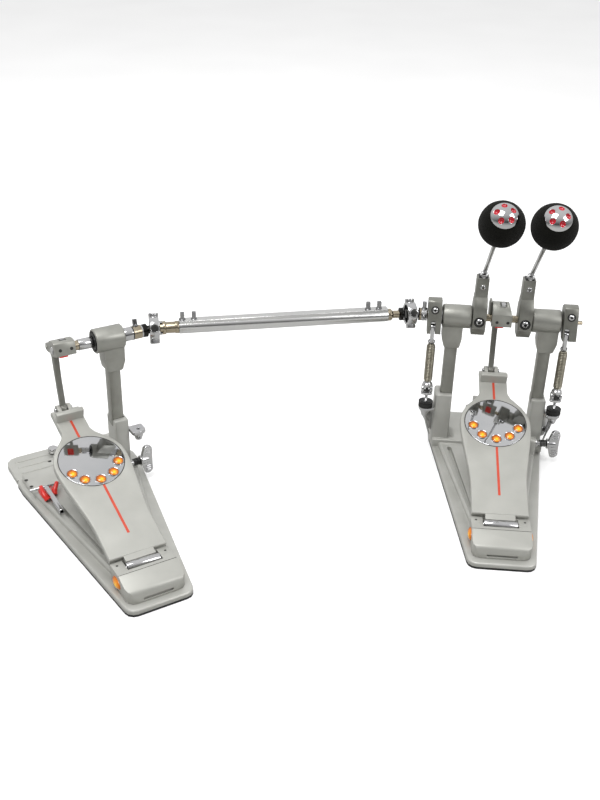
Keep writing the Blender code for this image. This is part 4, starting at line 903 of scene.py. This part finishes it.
def board_fittings(prefix, board, places):
    """The stripe along a footboard, the dark joint round its toe plate, and the jewels."""
    shape = bmesh.new()
    for low, high in STRIPES:
        outline = rectangle(-0.0017, 0.0017, low, high, 0.0004)
        add_prism(shape, outline, BOARD_TOP - 0.0001, BOARD_TOP + 0.0002, board)
    piece(prefix + "_stripe", shape, [STRIPE], prefix + "_footboard")
    place = board @ shift(0, PLATE_ALONG, BOARD_TOP)
    ring = mm((43.9, 0), (44.7, 0), (44.7, 0.25), (44.2, 0.4), (43.9, 0.35))
    turned_ring(prefix + "_plate_joint", ring, place, STEEL, prefix + "_footboard", 96)
    jewels(prefix, board, places)


def heel_fittings(prefix, pedal):
    """The parting line and the two small screws of a heel block, and the amber lenses in its sides."""
    shape = bmesh.new()
    add_prism(shape, rectangle(-0.0388, 0.0388, -0.2626, -0.262), 0.0343, 0.03455, pedal)
    for side in (-1, 1):
        place = pedal @ shift(side * 0.0325, -0.242, 0.0338)
        add_turned(shape, mm((0, 0.2), (1.4, 0.2), (1.8, -0.1), (1.8, -0.6), (0, -0.6)), place, 20)
    piece(prefix + "_heel_lines", shape, [STEEL], prefix + "_frame")
    shape = bmesh.new()
    centres = []
    for side in (-1, 1):
        place = pedal @ shift(side * 0.039, -0.256, 0.0205)
        ellipsoid(shape, place, (0.0042, 0.0118, 0.0072), 0, 16, 28)
        # The painted yellow spot sits toward the outside and the heel of each side lens.
        centres.append(place @ Vector((side * 0.004, -0.003, -0.001)))
    made = piece(prefix + "_heel_lenses", shape, [AMBER], prefix + "_frame", sharp=60)
    paint_lens_glow(made, centres, 0.008)


# ---------------------------------------------------------------- key clip, stabiliser and clamp


def curve_points(corners):
    """A smooth line through the corners."""
    steps = 8
    corners = [Vector(corner) for corner in corners]
    points = []
    for index in range(len(corners) - 1):
        before = corners[max(index - 1, 0)]
        here, after = corners[index], corners[index + 1]
        beyond = corners[min(index + 2, len(corners) - 1)]
        for step in range(steps):
            t = step / steps
            first = -0.5 * before + 1.5 * here - 1.5 * after + 0.5 * beyond
            second = before - 2.5 * here + 2.0 * after - 0.5 * beyond
            third = 0.5 * (after - before)
            points.append(((first * t + second) * t + third) * t + here)
    return points + [corners[-1]]


def key_clip():
    """The red clip: a plate with two curved claws that hold the drum key."""
    shape = bmesh.new()
    plate = rectangle(-0.06, -0.0385, -0.035, -0.014, 0.002)
    add_prism(shape, plate, FLANK_TOP + 0.0003, FLANK_TOP + 0.0022, SLAVE, 0, 0.0006)
    claws = (
        mm((-55.3, -45, 20), (-58.2, -40, 25.5), (-58.6, -33, 29.5), (-57.7, -25, 31.8)),
        mm((-43.5, -37, 20.5), (-40.8, -33.2, 26.2), (-37.8, -30.2, 30), (-35, -26.5, 33)),
    )
    for corners in claws:
        points = [SLAVE @ point for point in curve_points(corners)]
        count = len(points) - 1
        radii = [0.0044 - 0.0019 * index / count for index in range(count + 1)]
        radii[0] = 0.0024
        radii[-1] = 0.0012
        add_tube(shape, points, radii, 14)
    piece("red_key_clip", shape, [RED], "slave_frame", ["key_clip"], 50)


def stabiliser_hole_shade():
    # Dark discs where the plate's holes are: painted shade standing in for each hole's inside.
    shape = bmesh.new()
    for x, y, height in ((-0.016, 0.068, 0.007), (-0.0655, 0.02, FLANK_TOP), (-0.064, 0.001, FLANK_TOP)):
        profile = mm((0, 0.1), (1.9, 0.1), (2.6, 0.3), (2.8, 0.2), (2.8, -0.4), (0, -0.4))
        add_turned(shape, profile, SLAVE @ shift(x, y, height), 24, [1, 1, 0, 0, 0])
    piece("stabiliser_hole_shade", shape, [PAINT, STEEL], "slave_frame")


def stabiliser_knob():
    """The small chrome foot screw near the rear edge of the stabiliser plate."""
    shape = bmesh.new()
    profile = mm(
        (0, 6.6), (4.2, 6.6), (4.2, 9), (6.8, 9.6), (7.4, 10.6), (7.4, 15), (6.8, 16.2), (4.8, 16.8), (0, 17),
    )
    add_turned(shape, profile, SLAVE @ shift(-0.0035, 0.088, 0), 32)
    piece("stabiliser_knob", shape, [CHROME], "slave_frame")


def wing_stud(prefix, pedal):
    """The dark spring and the chrome washer round a wing bolt's stud."""
    axis = pedal @ shift(0, WING_Y, WING_Z) @ ALONG_X
    shape = bmesh.new()
    count, per_turn = 60, 12
    points = []
    for step in range(count + 1):
        angle = 2 * pi * step / per_turn
        along = 0.0765 + 0.0105 * step / count
        points.append(axis @ Vector((0.0048 * cos(angle), 0.0048 * sin(angle), along)))
    add_tube(shape, points, [0.0007] * len(points), 8, 1)
    washer = mm((3.8, 70), (7.8, 70), (8, 70.4), (8, 71.8), (3.8, 71.8))
    add_turned(shape, washer, axis, ring=True)
    piece(prefix + "_stud", shape, [CHROME, STEEL], prefix + "_frame")


def wing_bolt(name, pedal):
    """The wing bolt: a threaded stud, a flanged hub and two thick ribbed wings."""
    centre = pedal @ shift(0, WING_Y, WING_Z)
    shape = bmesh.new()
    hub = mm(
        (0, 72.5), (3.6, 72.5), (3.6, 86.8), (7.4, 87.2), (7.8, 88), (7.4, 89.2), (6.2, 90), (5.8, 96),
        (5, 100), (0, 100.6),
    )
    add_turned(shape, hub, centre @ ALONG_X)
    wing = rounded(mm(
        (-22.5, 94.5, 3), (-5, 89.5, 3), (5, 89.5, 3), (22.5, 94.5, 3), (21.5, 106, 5), (7, 105.2, 4),
        (-7, 105.2, 4), (-21.5, 106, 5),
    ))
    flat = centre @ WING_FLAT
    add_prism(shape, wing, -0.0032, 0.0032, flat, 0, 0.0016, 3)
    for side in (-1, 1):
        for along in (0.0105, 0.014, 0.0175):
            rib = rectangle(side * along - 0.0009, side * along + 0.0009, 0.095, 0.1045, 0.0006)
            add_prism(shape, rib, -0.004, 0.004, flat, 0, 0.0005)
    piece(name + "_ribbed", shape, [CHROME], name, [name])


def clevis_fittings(prefix, board):
    """Chrome heads on the ends of the pin that joins the link to the footboard."""
    shape = bmesh.new()
    for side in (-1, 1):
        end = shift(LINK_X + side * CLEVIS_HALF, PIVOT_ALONG, PIVOT_ABOVE)
        place = board @ end @ turn_about(side * pi / 2, "Y")
        add_socket_bolt(shape, place, 0.0036, 0.0016)
    piece(prefix + "_clevis_heads", shape, [CHROME, STEEL], prefix + "_footboard")


# ---------------------------------------------------------------- studio


def show_to_camera(tree, other, seen, out):
    """Sends one shader to camera rays and the other to the rays that light and reflect."""
    mix = add_node(tree, "MixShader")
    tree.links.new(add_node(tree, "LightPath").outputs["Is Camera Ray"], mix.inputs[0])
    tree.links.new(other.outputs[0], mix.inputs[1])
    tree.links.new(seen.outputs[0], mix.inputs[2])
    tree.links.new(mix.outputs["Shader"], out.inputs["Surface"])


def floor_look():
    """White to the eye with faint shadows, and a darker paper to other rays, so that metal keeps contrast."""
    look, tree, seen = new_material("floor_white")
    whites = ((0.3, (0.9, 0.9, 0.9)), (0.7, (0.93, 0.93, 0.93)))
    white = colour_stops(tree, noise_node(tree, 3.0, 2.0), whites)
    tree.links.new(white, seen.inputs["Base Color"])
    set_inputs(seen, roughness=0.9, emission_color=(1, 1, 1, 1), emission_strength=0.14)
    seen.inputs["Specular IOR Level"].default_value = 0.0
    paper = add_node(tree, "BsdfDiffuse", color=PAPER)
    show_to_camera(tree, paper, seen, tree.nodes["Material Output"])
    return look


def surround():
    """A sky that is bright above and dark near the horizon, and a plain backdrop for the camera."""
    world = bpy.data.worlds.new("studio")
    bpy.context.scene.world = world
    world.use_nodes = True
    tree = world.node_tree
    split = add_node(tree, "SeparateXYZ")
    tree.links.new(add_node(tree, "TexCoord").outputs["Generated"], split.inputs["Vector"])
    height = add_node(tree, "Math")
    height.operation = "MULTIPLY_ADD"
    height.inputs[1].default_value = 0.45
    tree.links.new(split.outputs["Y"], height.inputs[0])
    tree.links.new(split.outputs["Z"], height.inputs[2])
    stops = [(position, (grey, grey, grey)) for position, grey in SKY]
    sky = tree.nodes["Background"]
    sky.inputs["Strength"].default_value = 0.85
    colour = colour_stops(tree, map_range(tree, height.outputs["Value"], from_min=-1.0), stops)
    tree.links.new(colour, sky.inputs["Color"])
    backdrop = add_node(tree, "Background", color=BACKDROP)
    show_to_camera(tree, sky, backdrop, tree.nodes["World Output"])


def studio():
    """A plain white floor, the surround and three soft lights."""
    bpy.ops.mesh.primitive_plane_add(size=80, location=(0, 0, -0.0002))
    floor = bpy.context.object
    floor.name = "floor"
    floor.data.materials.append(floor_look())
    surround()
    soft_light("key", (-0.9, -1.1, 2.6), (-0.25, -0.05, 0.1), 1.4, 46.0)
    soft_light("fill", (1.6, -0.9, 1.6), (-0.2, -0.05, 0.1), 1.0, 15.0)
    soft_light("top", (-0.3, 0.9, 2.6), (-0.25, 0.0, 0.15), 1.6, 16.0).visible_glossy = False


def soft_light(name, position, target, size, power):
    data = bpy.data.lights.new(name, "AREA")
    data.shape = "SQUARE"
    data.size = size
    data.energy = power
    made = bpy.data.objects.new(name, data)
    made.location = position
    made.rotation_euler = (Vector(target) - Vector(position)).to_track_quat("-Z", "Y").to_euler()
    bpy.context.scene.collection.objects.link(made)
    return made


def camera():
    """The camera, above the heels and a little left of the main pedal, turned by yaw, pitch and roll."""
    yaw, pitch, roll = CAMERA_TURN
    ahead = Vector((sin(yaw) * cos(pitch), cos(yaw) * cos(pitch), -sin(pitch)))
    level = Vector((cos(yaw), -sin(yaw), 0))
    up = level.cross(ahead)
    right = level * cos(roll) + up * sin(roll)
    top = up * cos(roll) - level * sin(roll)
    data = bpy.data.cameras.new("camera")
    data.sensor_fit = "VERTICAL"
    data.sensor_height = SENSOR_HEIGHT
    data.lens = LENS
    data.clip_end = 100.0
    made = bpy.data.objects.new("camera", data)
    place = Matrix((right, top, -ahead)).transposed().to_4x4()
    place.translation = CAMERA_AT
    made.matrix_world = place
    bpy.context.scene.collection.objects.link(made)
    bpy.context.scene.camera = made


def fittings():
    for side, tag, body, first_dimple in ((-1, "left", "left_beater", 98), (1, "right", "main_axle", 76)):
        beater(side, tag, body, first_dimple)
        holder_fittings(side, tag, body)
        rocker_fittings(side, tag, body)
        spring(side, tag)
        tension_rod(side, tag)
        tension_knob(side, tag)
        bracket_gusset(side, tag)
    cam_fittings("main", MAIN_AXLE, True)
    cam_fittings("slave", SLAVE_AXLE, False)
    seal_and_shadow_rings("main", MAIN, (-1, 1))
    seal_and_shadow_rings("slave", SLAVE, (1,))
    joint_ring("main", SHAFT, "drive_shaft")
    joint_ring("slave", SHAFT_END, "slave_shaft_end")
    sleeve_screws()
    collar_screws()
    for prefix, board, places in (("main", MAIN_BOARD, MAIN_JEWELS), ("slave", SLAVE_BOARD, SLAVE_JEWELS)):
        board_fittings(prefix, board, places)
        clevis_fittings(prefix, board)
    for prefix, pedal, bolt in (("main", MAIN, "hoop_clamp_wing_bolt"), ("slave", SLAVE, "slave_wing_bolt")):
        heel_fittings(prefix, pedal)
        wing_stud(prefix, pedal)
        wing_bolt(bolt, pedal)
    key_clip()
    stabiliser_hole_shade()
    stabiliser_knob()


dress_nodes()
fittings()
studio()
camera()
bpy.context.scene.view_settings.view_transform = "Standard"
